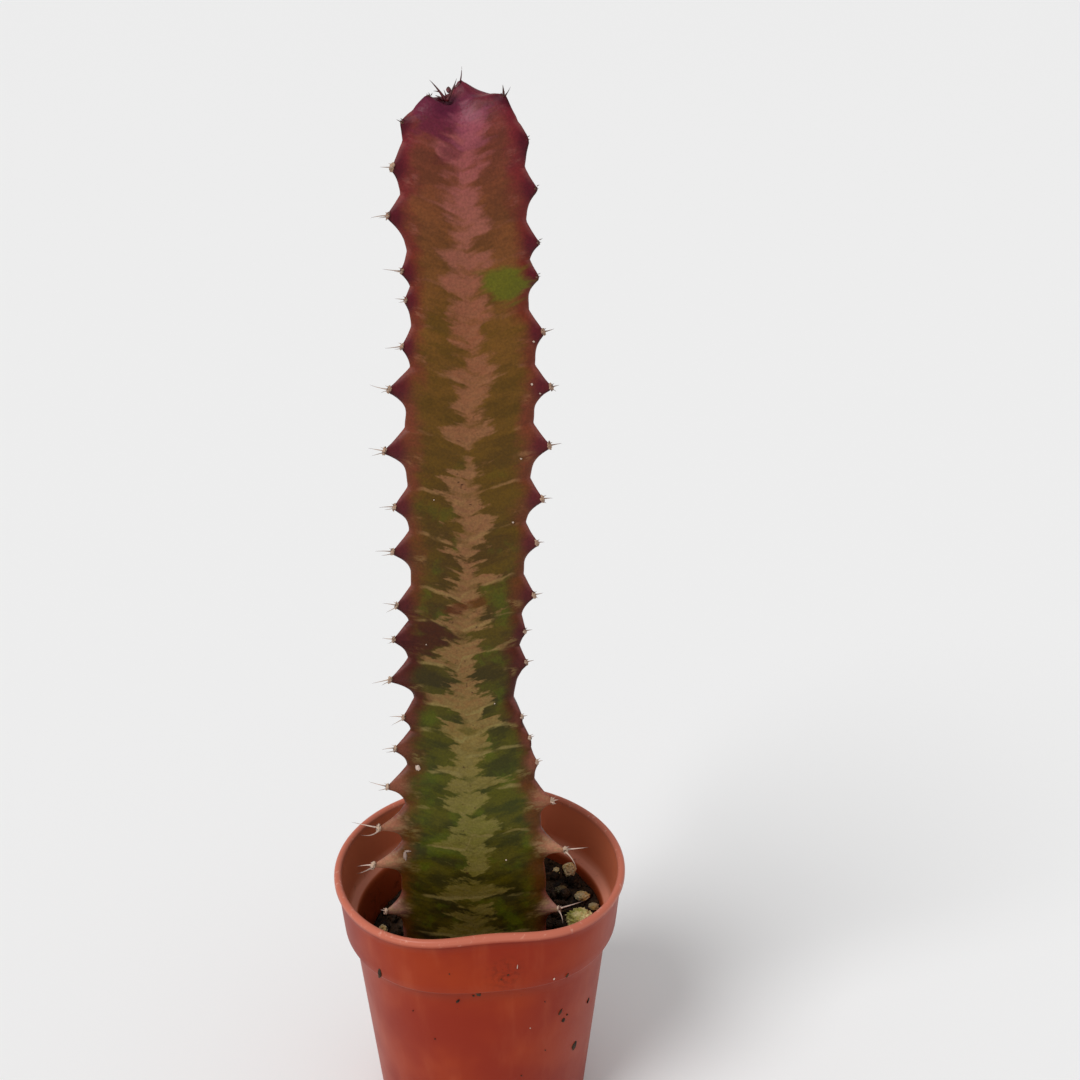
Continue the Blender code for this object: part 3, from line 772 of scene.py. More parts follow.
@dataclass(frozen=True)
class PotFinish:
    """Soft terracotta-coloured plastic, satin, with a lip painted paler as a highlight, in patches, and compost dirt.
    """

    gloss: Gloss = Gloss(roughness=0.4, coat=0.03, coat_roughness=0.2, specular=0.17)
    base: Colour = seen(158, 58, 20)
    warm: Colour = seen(144, 48, 12)
    pale: Colour = seen(186, 92, 60)
    # Painted light and shade inside: the inner wall is painted far paler than the outside to stand in for the light
    # that reaches in, less pale below the ledge where it lies deeper, and the upward-facing ledge palest of all.
    inner: Colour = seen(236, 136, 100)
    below_ledge: Colour = seen(176, 84, 52)
    ledge: Colour = seen(238, 158, 132)
    # Painted highlight: the lip is painted pale pink where light from above catches the bead, paler still in patches.
    lip: Colour = seen(206, 122, 100)
    patchy_lip_highlight: Colour = seen(226, 170, 152)
    dirt: Colour = seen(58, 36, 26)
    smear_at: Triple = (0.005, -0.0215, 0.0465)

    def make(self, effects: Effects) -> bpy.types.Material:
        """Builds the material from the pot's inside, lip and ledge values."""
        made, g, shader = new_finish("terracotta_plastic", self.gloss)
        at, inside, lip = g.where(), g.value("inside"), g.value("lip")
        cloud = g.noise(at, 60.0)
        flow = g.noise(g.stretched(at, (1.0, 1.0, 0.25)), 240.0, 4.0)
        # Painted light and shade on the inner wall: paler above the ledge, less pale below it.
        painted_inside_shading = g.mix(g.fade(g.split(at)[2], 42.2 * MM, 43.6 * MM), self.below_ledge, self.inner)
        # Painted highlight in patches along the lip.
        patchy_lip_highlight = g.times(g.fade(g.noise(at, 900.0, 4.0, 0.65), 0.58, 0.7), lip, 0.5)

        # A smear by the front of the rim, a few specks, and dust inside over the compost.
        near_smear = g.fade(g.vector("DISTANCE", at, self.smear_at).outputs["Value"], 0.0052, 0.001)
        smear = g.times(near_smear, effects.patches(g, at, 1300.0, 0.45, 0.1))
        speckle = effects.patches(g, at, 700.0, 0.02, 0.03)
        dirt = g.math("MAXIMUM", g.times(smear, 0.35), g.times(speckle, 0.35))
        dirt = g.math("MAXIMUM", dirt, g.times(effects.film(g, at, 0.033, 0.016, 0.75), inside))
        scratch = g.noise(g.stretched(at, (1.0, 1.0, 9.0)), 300.0, 6.0, 0.7)
        # The lining, the ledge, the lip and its patches are painted light and shade; the other layers are the plastic's
        # own tone, dirt and scratches.
        colour = self.base
        for mask, tone in (
            (g.fade(cloud, 0.35, 0.65), self.warm), (g.fade(flow, 0.5, 0.8, 0.0, 0.25), self.pale),
            (g.times(inside, 0.85), painted_inside_shading), (g.times(g.value("ledge"), 0.85), self.ledge),
            (g.times(lip, 0.8), self.lip), (patchy_lip_highlight, self.patchy_lip_highlight), (dirt, self.dirt),
            (g.fade(scratch, 0.68, 0.74, 0.0, 0.12), self.pale),
        ):
            colour = g.mix(mask, colour, tone)
        rough = g.minus(g.plus(g.fade(cloud, 0.3, 0.7, 0.38, 0.47), g.times(dirt, 0.4)), g.times(lip, 0.08))
        relief = g.plus(g.times(effects.pores(g, at, 2400.0, 0.2), 0.35), flow, g.times(dirt, 1.2))
        g.give(shader, Base_Color=colour, Roughness=rough, Normal=g.bump(relief, 0.05 * MM, 0.7))
        return made


@dataclass(frozen=True)
class EarthFinish:
    """Damp dark compost, bark and flecks of it: near-black brown, rough, with a few
    paler fibres and crumbs."""

    name: str = "compost"
    dark: Colour = seen(34, 26, 19)
    light: Colour = seen(80, 61, 45)
    fleck: Colour = seen(120, 94, 66)
    flecks: float = 0.12
    gloss: Gloss = Gloss(roughness=0.85, specular=0.3)

    def make(self, effects: Effects) -> bpy.types.Material:
        """Builds the material."""
        made, g, shader = new_finish(self.name, self.gloss)
        at = g.where()
        flecks = effects.patches(g, g.stretched(at, (1.0, 1.0, 1.6)), 1700.0, self.flecks, 0.06)
        ground = g.mix(effects.patches(g, at, 600.0, 0.45, 0.2), self.dark, self.light)
        g.give(
            shader, Base_Color=g.mix(flecks, ground, self.fleck),
            Roughness=g.fade(g.noise(at, 350.0), 0.35, 0.65, 0.62, 0.92),
            Normal=g.bump(effects.pores(g, at, 2100.0, 0.55), 0.3 * MM),
        )
        return made


@dataclass(frozen=True)
class StoneFinish:
    """Porous light rock: creamy with ochre stains and dark pores."""

    name: str = "pumice"
    pale: Colour = seen(250, 234, 188)
    stain: Colour = seen(238, 198, 118)
    pore: Colour = seen(74, 52, 34)
    dim: Colour = seen(66, 60, 50)
    stained: float = 0.45
    gloss: Gloss = Gloss(roughness=0.9, specular=0.25)

    def make(self, effects: Effects) -> bpy.types.Material:
        """Builds the material from the pieces' shade value."""
        made, g, shader = new_finish(self.name, self.gloss)
        at = g.where()
        colour = g.mix(effects.patches(g, at, 520.0, self.stained, 0.15), self.pale, self.stain)
        colour = g.mix(g.times(g.fade(g.cells(at, 1700.0), 0.22, 0.1), 0.7), colour, self.pore)
        colour = g.mix(g.times(effects.patches(g, at, 1200.0, 0.18, 0.06), 0.4), colour, self.pore)
        colour = g.mix(g.value("shade"), colour, self.dim)
        g.give(shader, Base_Color=colour, Normal=g.bump(effects.pores(g, at, 1700.0, 0.7), 0.25 * MM))
        return made


@dataclass(frozen=True)
class LeafFinish:
    """Tiny young leaves: dark wine red, drying to brown at their tips."""

    gloss: Gloss = Gloss(roughness=0.45, coat=0.1)
    skin: Colour = seen(84, 28, 38)
    blush: Colour = seen(126, 58, 60)
    dry: Colour = seen(66, 40, 30)

    def make(self, effects: Effects) -> bpy.types.Material:
        """Builds the material from the pieces' along value."""
        made, g, shader = new_finish("young_leaf_skin", self.gloss)
        at = g.where()
        colour = g.mix(g.times(effects.patches(g, at, 1400.0, 0.4, 0.1), 0.5), self.skin, self.blush)
        colour = g.mix(g.fade(g.value("along"), 0.4, 0.9), colour, self.dry)
        relief = g.noise(g.stretched(at, (1.0, 1.0, 0.3)), 2600.0)
        g.give(shader, Base_Color=colour, Normal=g.bump(relief, 0.06 * MM))
        return made


# ---- stem --------------------------------------------------------------------------
class Rib(Enum):
    """The three ribs, by the azimuth that each faces, in degrees."""

    RIGHT = 330.0
    BACK = 90.0
    LEFT = 210.0


@dataclass(frozen=True)
class Tooth:
    """One tooth of a rib.

    Attributes:
        along: How far up the crest its tip is, from the soil.
        reach: How far the tip stands out of the crest.
    """

    along: float
    reach: float


@dataclass(frozen=True)
class Spot:
    """A point of the stem's skin with what the finish wants to know of it."""

    where: Vector
    level: float
    from_middle: float
    rib_share: float
    tooth: float
    line_sine: float
    line_cosine: float
    line_pitch: float
    tip_sine: float
    tip_cosine: float
    tip_pitch: float


@dataclass
class StemForm:
    """The stem's shape: three ribs with teeth round a slightly wandering middle."""

    soil_level: float = 37.5 * MM
    height: float = 157.5 * MM
    crown_height: float = 9.0 * MM
    crown_arc: float = 15.5 * MM
    crown_squareness: float = 0.7
    crown_dip: float = 1.5 * MM
    buried: float = 6.0 * MM
    face_share: float = 0.53
    rib_thickness: float = 3.2 * MM
    most_thickness_share: float = 0.7
    shoulder_bend: Point = (0.15, 0.58)
    flank_pull: float = 0.62
    tip_thickness: float = 1.3 * MM
    tip_half_height: float = 0.3 * MM
    span_up: float = 2.6 * MM
    span_up_per_reach: float = 0.15
    span_down: float = 3.7 * MM
    span_down_per_reach: float = 0.28
    sharpness_up: float = 1.2
    sharpness_down: float = 2.2
    low_share: float = 0.2
    low_sharpness: float = 1.0
    rise_share: float = 0.42
    line_above_tip: float = 3.3 * MM
    line_drop: float = 3.0 * MM
    line_drop_low: float = 1.4 * MM
    line_bend: float = 0.6
    furrow_half_width: float = 0.55 * MM
    swelling_at: float = 0.72
    swelling_spread: float = 0.2
    furrow: float = 0.16 * MM
    swelling: float = 0.28 * MM
    unevenness: float = 0.22 * MM
    # Share of the crest, and the radius and the middle's drift in millimetres.
    outline: tuple[Triple, ...] = (
        (0.00, 15.4, -1.0), (0.10, 15.3, -0.9), (0.18, 14.5, -1.0), (0.23, 13.4, -1.2),
        (0.28, 12.5, -1.2), (0.31, 10.9, -1.5), (0.34, 10.1, -2.0), (0.37, 11.0, -2.0),
        (0.50, 11.0, -0.9), (0.64, 12.0, -0.1), (0.71, 11.5, 0.6), (0.79, 10.4, 0.4),
        (0.86, 11.1, -0.4), (0.92, 10.4, -0.2), (1.00, 10.2, -0.8),
    )
    # Per cent of the crest, and reach in millimetres.
    left_teeth: tuple[Point, ...] = (
        (7.4, 3.6), (14.1, 6.0), (18.7, 4.9), (23.6, 3.7), (28.1, 2.7), (31.6, 2.2), (36.5, 3.8),
        (41.2, 3.0), (45.1, 2.7), (51.3, 3.4), (56.2, 2.7), (62.4, 3.9), (68.7, 3.6), (72.8, 1.5),
        (77.3, 1.2), (80.1, 1.7), (85.4, 2.2), (89.8, 1.8), (93.2, 0.9), (97.6, 0.5),
    )
    right_teeth: tuple[Point, ...] = (
        (7.6, 3.1), (15.9, 5.1), (21.8, 3.6), (26.2, 1.3), (29.0, 0.6), (31.4, 0.5), (38.3, 1.8),
        (41.9, 1.2), (46.3, 2.4), (52.2, 2.6), (57.1, 2.8), (62.9, 3.2), (68.9, 3.2), (74.3, 2.2),
        (79.6, 2.0), (82.9, 2.3), (87.9, 2.1), (91.6, 1.0), (96.4, 1.4),
    )
    back_first: float = 13.0 * MM
    back_pitch: float = 8.6 * MM
    back_reach: float = 3.2 * MM
    back_last_share: float = 0.96
    peak: tuple[float, float] = (-0.7 * MM, 0.3 * MM)
    peak_rise: float = 3.4 * MM
    peak_tail: float = 1.8
    peak_spread: float = 1.5 * MM
    peak_from: float = 0.92
    heart: tuple[float, float] = (-2.8 * MM, -2.2 * MM)
    heart_depth: float = 2.2 * MM
    heart_spread: float = 1.4 * MM
    crown_fall: float = 1.2 * MM
    # Shares of the crest over which the faces' fall comes and mostly goes again.
    fall_comes: Point = (0.92, 0.04)
    fall_goes: Point = (0.965, 0.035)
    fall_lost: float = 0.8

    def __post_init__(self) -> None:
        """Works out the teeth of each rib."""
        listed = {Rib.LEFT: self.left_teeth, Rib.RIGHT: self.right_teeth}
        self.teeth = {
            rib: [Tooth(percent / 100.0 * self.crest_length, reach * MM) for percent, reach in rows]
            for rib, rows in listed.items()
        }
        uneven = random.Random(7)
        back, along = [], self.back_first
        while along < self.back_last_share * self.crest_length:
            back.append(Tooth(along, self.back_reach * uneven.uniform(0.65, 1.2)))
            along += self.back_pitch * uneven.uniform(0.85, 1.15)
        self.teeth[Rib.BACK] = back

    @property
    def crest_length(self) -> float:
        """Along a rib's crest from the soil to the growing point."""
        return self.height - self.crown_height + self.crown_arc

    def outline_at(self, share: float) -> tuple[float, float]:
        """Gives the crest's radius between teeth and the middle's drift along X."""
        share = min(1.0, max(0.0, share))
        for low, high in zip(self.outline, self.outline[1:]):
            if share <= high[0]:
                ease = smooth_step((share - low[0]) / (high[0] - low[0]))
                return (
                    (low[1] + (high[1] - low[1]) * ease) * MM,
                    (low[2] + (high[2] - low[2]) * ease) * MM,
                )
        return self.outline[-1][1] * MM, self.outline[-1][2] * MM

    def crest_at(self, along: float) -> tuple[float, float, float, float]:
        """Follows the crest as if it had no teeth.

        Args:
            along: The distance up the crest from the soil.

        Returns:
            Its radius, its height over the soil, and its outward and upward slant.
        """
        straight = self.height - self.crown_height
        if along <= straight:
            return self.outline_at(along / self.crest_length)[0], along, 1.0, 0.0
        turn = min(1.0, (along - straight) / self.crown_arc) * math.pi / 2
        shoulder = self.outline_at(straight / self.crest_length)[0]
        radius = shoulder * max(0.0, math.cos(turn)) ** self.crown_squareness
        rise = self.crown_height * math.sin(turn) ** self.crown_squareness
        dip = self.crown_dip * smooth_step((turn / (math.pi / 2) - 0.7) / 0.3)
        return radius, straight + rise - dip, math.cos(turn), math.sin(turn)

    def nearest_tooth(self, rib: Rib, along: float) -> tuple[float, float]:
        """Gives the teeth's lift of the crest and how near a tip is.

        Args:
            rib: Which rib.
            along: The distance up its crest.

        Returns:
            The lift, and the nearness to a tip from 0 to 1.
        """
        lift, near = 0.0, 0.0
        for tooth in self.teeth[rib]:
            away = along - tooth.along
            up = away > 0.0
            span = (self.span_up + self.span_up_per_reach * tooth.reach) if up else (
                self.span_down + self.span_down_per_reach * tooth.reach)
            gap = max(0.0, abs(away) - self.tip_half_height) / span
            power = self.sharpness_up if up else self.sharpness_down
            power += self.low_sharpness if tooth.along < self.low_share * self.crest_length else 0.0
            share = max(0.0, 1.0 - gap) ** power
            if share * tooth.reach > lift:
                lift, near = share * tooth.reach, share
        return lift, near

    def line_levels(self, rib: Rib, share: float) -> list[float]:
        """Gives how far up each leaf-trace line of a rib runs, at a share of its way out."""
        slide = max(0.0, 1.0 - share / self.line_bend) ** 1.4
        levels = []
        for tooth in self.teeth[rib]:
            ease = smooth_step(tooth.along / self.crest_length / 0.5)
            drop = self.line_drop_low + (self.line_drop - self.line_drop_low) * ease
            levels.append(tooth.along + self.line_above_tip - drop * slide)
        return levels

    @staticmethod
    def cycle(levels: list[float], along: float) -> tuple[float, float, float]:
        """Places a height in a run of levels that repeats up the stem.

        Args:
            levels: The heights where the run starts anew, from the lowest.
            along: The height.

        Returns:
            The sine and cosine of its turn since the level under it, and the spacing in
            millimetres of the two levels round it.
        """
        low = max((level for level in levels if level <= along), default=levels[0] - USUAL_PITCH)
        high = min((level for level in levels if level > along), default=levels[-1] + USUAL_PITCH)
        turn = 2.0 * math.pi * (along - low) / (high - low)
        return math.sin(turn), math.cos(turn), (high - low) / MM

    def spot(self, rib: Rib, side: int, t: float, along: float) -> Spot:
        """Gives a point of the skin.

        Args:
            rib: The rib that the point's half face belongs to.
            side: -1 or 1, the clockwise or the anticlockwise half beside that rib.
            t: 0 at the face's middle to 1 on the crest.
            along: The distance up the crest from the soil; below 0 is buried.

        Returns:
            The point and its values for the finish.
        """
        up_crest = max(0.0, along)
        radius, height, outward, upward = self.crest_at(up_crest)
        share = up_crest / self.crest_length
        drift = self.outline_at(share)[1]
        lift, near = self.nearest_tooth(rib, up_crest)
        if along < 0.0:
            height = along
            lift = 0.0
        thickness = min(self.rib_thickness, self.most_thickness_share * radius)
        face = self.face_share * radius
        start = Vector((face * 0.5, face * math.sin(math.pi / 3)))
        edge = Vector((radius, 0.0))
        inset, rise = self.shoulder_bend
        shoulder = Vector((radius - inset * thickness, rise * thickness))
        flank = start.lerp(Vector((radius, 0.5 * thickness)), self.flank_pull)
        u = 1.0 - t
        flat = u**3 * start + 3 * u * u * t * flank + 3 * u * t * t * shoulder + t**3 * edge
        rising = smooth_step((t - self.rise_share) / (1.0 - self.rise_share)) ** 1.5
        narrowing = 1.0 - near * rising * (1.0 - self.tip_thickness / max(thickness, 1e-5))
        lines = self.line_levels(rib, t)
        relief = self._relief(min((along - level for level in lines), key=abs), t, near)
        facing = math.radians(60.0 * u)
        flat += Vector((math.cos(facing), math.sin(facing))) * relief * min(1.0, radius / (4.0 * MM))
        radial = flat.x + lift * rising * outward
        lateral = flat.y * narrowing * side
        angle = math.radians(rib.value)
        x = radial * math.cos(angle) - lateral * math.sin(angle) + drift
        y = radial * math.sin(angle) + lateral * math.cos(angle)
        z = self.soil_level + height + lift * rising * upward
        where = Vector((x, y, z + self.peak_at(x, y, share) - self._crown_fall(t, share)))
        lumps = noise.noise(where * 170.0) + 0.5 * noise.noise(where * 430.0)
        uneven = self.unevenness * lumps * min(1.0, radius / (5.0 * MM))
        where += Vector((x - drift, y, 0.0)).normalized() * uneven
        middle = (flat - start).length / MM
        line = self.cycle(lines, along)
        tip = self.cycle([tooth.along for tooth in self.teeth[rib]], along)
        return Spot(where, share, middle, t, near * rising, *line, *tip)

    def peak_at(self, x: float, y: float, share: float) -> float:
        """Gives how much the peak beside the growing point lifts the skin at a place."""
        spread = self.peak_spread * (self.peak_tail if x > self.peak[0] else 1.0)
        away = math.hypot((x - self.peak[0]) / spread, (y - self.peak[1]) * 0.8 / self.peak_spread)
        pull = math.exp(-(math.sqrt(away * away + 0.16) - 0.4))
        pit = math.hypot(x - self.heart[0], y - self.heart[1]) / self.heart_spread
        lifted = self.peak_rise * pull - self.heart_depth * math.exp(-pit * pit)
        return lifted * smooth_step((share - self.peak_from) / (1.0 - self.peak_from))

    def _crown_fall(self, t: float, share: float) -> float:
        """Gives how much the middle of a face falls away round the growing point."""
        come, gone = (
            smooth_step((share - start) / span) for start, span in (self.fall_comes, self.fall_goes))
        return self.crown_fall * (1.0 - t) ** 2 * come * (1.0 - self.fall_lost * gone)

    def _relief(self, line: float, t: float, near: float) -> float:
        """Gives the furrow at a leaf-trace line and the swelling under each tooth."""
        inner = smooth_step(t / 0.25) * smooth_step((1.0 - t) / 0.15)
        furrow = -self.furrow * math.exp(-((line / self.furrow_half_width) ** 2)) * inner
        base = math.exp(-(((t - self.swelling_at) / self.swelling_spread) ** 2))
        return furrow + self.swelling * near * base

    def tip_of(self, rib: Rib, tooth: Tooth) -> tuple[Vector, Vector, Vector, Vector]:
        """Gives a tooth tip's place and its outward, sideways and upward directions."""
        radius, height, outward, upward = self.crest_at(tooth.along)
        drift = self.outline_at(tooth.along / self.crest_length)[1]
        out = polar(outward, rib.value, upward)
        across = polar(1.0, rib.value + 90.0)
        tip = polar(radius, rib.value, self.soil_level + height) + out * tooth.reach
        tip.x += drift
        tip.z += self.peak_at(tip.x, tip.y, tooth.along / self.crest_length)
        return tip, out, across, out.cross(across)


@dataclass(frozen=True)
class SpineHabit:
    """How a pair of spines grows.

    Attributes:
        base: Length on a tooth of no reach.
        per_reach: Length added for each unit of the tooth's reach.
        radius: Thickness near the root.
        splay: Degrees between a spine and straight out.
        curl: How much it bends back towards its twin.
        pale: How bleached it is, from 0 to 1.
    """

    base: float
    per_reach: float
    radius: float
    splay: float
    curl: float
    pale: float


@dataclass
class Stem:
    """The stem's skin, its woody shields and its spines."""

    form: StemForm
    pitch: float = 0.42 * MM
    half_steps: int = 15
    shield_width: float = 0.44 * MM
    shield_height: float = 0.56 * MM
    shield_depth: float = 0.2 * MM
    shield_tilt: float = 22.0
    young_share: float = 0.9
    low_share: float = 0.2
    bald_share: float = 0.76
    crusty: Point = (0.88, 0.915)
    pair_half_gap: float = 0.28 * MM
    root_depth: float = 0.2 * MM
    root_rise: float = 0.1 * MM
    splay_spread: float = 12.0
    prickle_length: float = 0.5 * MM
    prickle_radii: Triple = (0.09 * MM, 0.05 * MM, 0.015 * MM)
    prickle_tones: Triple = (0.3, 0.6, 0.9)
    spine_steps: tuple[float, ...] = (0.0, 0.1, 0.24, 0.4, 0.56, 0.72, 0.86, 1.0)
    spine_taper: tuple[float, ...] = (1.5, 1.05, 0.8, 0.62, 0.47, 0.33, 0.2, 0.06)
    spine_tones: tuple[float, ...] = (0.0, 0.2, 0.4, 0.55, 0.68, 0.8, 0.9, 1.0)

    def build(self, finish: bpy.types.Material, woody: bpy.types.Material) -> None:
        """Builds and dresses all of the stem's pieces."""
        skin = self._skin()
        place(skin, finish, "stem_skin", "stem")
        SkinSpecks().build(skin, woody)
        place(self._shields(), woody, "stem_skin")
        for rib in Rib:
            place(self._spines(rib), woody, "stem_skin")

    def _skin(self) -> bpy.types.Object:
        """Lofts the skin from the buried foot to the growing point."""
        form, mould = self.form, Mould()
        top = form.crest_length - 0.25 * MM
        count = math.ceil(top / self.pitch)
        levels = [-form.buried, -0.5 * form.buried] + [top * i / count for i in range(count + 1)]
        shares = [i / self.half_steps for i in range(self.half_steps + 1)]
        spots: list[Spot] = []
        for along in levels:
            for rib in (Rib.RIGHT, Rib.BACK, Rib.LEFT):
                spots += [form.spot(rib, -1, t, along) for t in shares]
                spots += [form.spot(rib, 1, t, along) for t in reversed(shares[1:-1])]
        around = len(spots) // len(levels)
        mould.add([spot.where for spot in spots], ring_faces(len(levels), around))
        for value in fields(Spot)[1:]:
            mould.values[value.name] = [getattr(spot, value.name) for spot in spots]
        return mould.cast("stem_body")

    def _shields(self) -> bpy.types.Object:
        """Makes the small woody crust on the tip of every tooth."""
        mould = Mould()
        ball, tilt = unit_ball(3), Matrix.Rotation(math.radians(-self.shield_tilt), 3, "X")
        shield = Vector((self.shield_width, self.shield_height, self.shield_depth))
        for rib in Rib:
            for number, tooth in enumerate(self.form.teeth[rib]):
                tip, out, across, up = self.form.tip_of(rib, tooth)
                level = tooth.along / self.form.crest_length
                bald = rib is Rib.RIGHT and level > self.bald_share
                crusty = rib is Rib.LEFT and self.crusty[0] < level < self.crusty[1]
                size = (0.8 + 0.1 * tooth.reach / MM) * (0.7 if level > self.young_share else 1.0)
                size *= 0.6 if bald else 1.35 if crusty else 1.0
                level = 1.0 if bald else 0.62 if crusty else level
                turn = Matrix((across, up, out)).transposed() @ tilt
                centre = tip + up * 0.16 * MM - out * 0.12 * MM
                offset = Vector((number * 3.1, rib.value, 0.0))
                mould.lump(ball, centre, turn, shield * size, offset, (0.5, 1.8), (0.3, 4.2), level=level, along=0.0)
        return mould.cast("spine_shields")

    def _habit(self, rib: Rib, level: float) -> SpineHabit:
        """Picks how the spines of a rib grow at a level."""
        if rib is Rib.RIGHT and self.bald_share < level < 0.95:
            return SpineHabit(0.35 * MM, 0.05, 0.08 * MM, 30.0, 0.0, 0.0)
        if rib is Rib.LEFT and level > 0.95:
            return SpineHabit(0.4 * MM, 0.1, 0.09 * MM, 30.0, 0.0, 0.0)
        if level > self.young_share:
            return SpineHabit(1.2 * MM, 0.1, 0.11 * MM, 30.0, 0.0, 0.0)
        if rib is Rib.LEFT and level < 0.1:
            return SpineHabit(0.8 * MM, 0.1, 0.12 * MM, 30.0, 0.2, 0.3)
        if level < self.low_share:
            return SpineHabit(3.0 * MM, 0.28, 0.165 * MM, 36.0, 0.6, 0.5)
        if rib is Rib.RIGHT:
            return SpineHabit(0.8 * MM, 0.28, 0.14 * MM, 30.0, 0.0, 0.1)
        return SpineHabit(1.9 * MM, 0.3, 0.115 * MM, 24.0, 0.14, 0.85)

    def _spines(self, rib: Rib) -> bpy.types.Object:
        """Makes the paired spines of one rib, with two small prickles over each pair."""
        mould = Mould()
        uneven = random.Random(int(rib.value))
        for tooth in self.form.teeth[rib]:
            tip, out, across, up = self.form.tip_of(rib, tooth)
            level = tooth.along / self.form.crest_length
            habit = self._habit(rib, level)
            length = habit.base + habit.per_reach * tooth.reach
            for side in (-1.0, 1.0):
                grown = length * uneven.uniform(0.65, 1.2)
                splay = math.radians(habit.splay + uneven.uniform(-self.splay_spread, self.splay_spread))
                lift = uneven.uniform(-0.12, 0.3)
                way = (out * math.cos(splay) + across * side * math.sin(splay) + up * lift).normalized()
                root = tip + across * side * self.pair_half_gap - out * self.root_depth + up * self.root_rise
                inward = across * side * habit.curl
                bend = (up * uneven.uniform(-0.15, 0.2) - inward * uneven.uniform(-0.6, 1.4)) * grown
                path = [root + way * grown * s + bend * s * s for s in self.spine_steps]
                points, faces = tapered_tube(path, [habit.radius * r for r in self.spine_taper], 8)
                along = [tone for tone in self.spine_tones for _ in range(8)]
                pale = [habit.pale * uneven.uniform(0.5, 1.1)] * len(points)
                mould.add(points, faces, level=[level] * len(points), along=along, pale=pale)
                prickle = self.prickle_length * uneven.uniform(0.6, 1.2)
                aim = (out * 0.6 + across * side * 0.75 + up * 0.3).normalized()
                start = tip + up * 0.5 * MM + across * side * 0.3 * MM - out * 0.15 * MM
                path = [start + aim * prickle * s for s in (0.0, 0.5, 1.0)]
                points, faces = tapered_tube(path, list(self.prickle_radii), 6)
                count = len(points)
                along = [tone for tone in self.prickle_tones for _ in range(6)]
                mould.add(points, faces, level=[level] * count, along=along, pale=[habit.pale] * count)
        return mould.cast(f"spines_{rib.name.lower()}")


@dataclass
class SkinSpecks:
    """Pale flakes, a dried leaf's curled remnant and white grit stuck to the front."""

    # Across, height, width and tallness in millimetres, and how bleached.
    listed: tuple[tuple[float, ...], ...] = (
        (-10.4, 79.6, 0.8, 1.3, 0.75), (-13.2, 61.8, 0.6, 1.6, 0.1), (-12.7, 62.6, 1.2, 0.35, 0.3),
        (10.4, 157.9, 0.35, 0.3, 1.0), (10.1, 151.0, 0.3, 0.4, 1.0), (11.4, 149.5, 0.3, 0.25, 1.0),
        (8.3, 138.3, 0.3, 0.3, 1.0), (6.9, 126.9, 0.35, 0.25, 1.0), (-6.1, 131.0, 0.2, 0.2, 0.9),
        (3.4, 92.0, 0.2, 0.25, 0.9), (-8.2, 104.0, 0.25, 0.2, 0.9), (5.2, 60.5, 0.3, 0.25, 0.8),
    )
    thickness: float = 0.16 * MM

    def build(self, skin: bpy.types.Object, finish: bpy.types.Material) -> None:
        """Lays each speck on the skin that it faces and dresses them."""
        mould, ball, body = Mould(), unit_ball(3), skin.data
        corners_of = [tuple(face.vertices) for face in body.polygons]
        surface = BVHTree.FromPolygons([vertex.co for vertex in body.vertices], corners_of)
        for number, (x, z, wide, tall, pale) in enumerate(self.listed):
            where, normal, _, _ = surface.ray_cast(Vector((x * MM, -0.1, z * MM)), Vector((0.0, 1.0, 0.0)))
            if where is None:
                continue
            upward = (Vector((0.0, 0.0, 1.0)) - normal * normal.z).normalized()
            turn = Matrix((upward.cross(normal), upward, normal)).transposed()
            mould.lump(
                ball, where + normal * 0.05 * MM, turn, Vector((wide * 0.5 * MM, tall * 0.5 * MM, self.thickness)),
                Vector((number * 4.7, 1.0, 2.0)), (0.5, 1.7), (0.25, 4.5),
                level=0.1, along=0.4 if pale > 0.5 else 0.88, pale=pale,
            )
        place(mould.cast("skin_specks"), finish, "stem_skin")


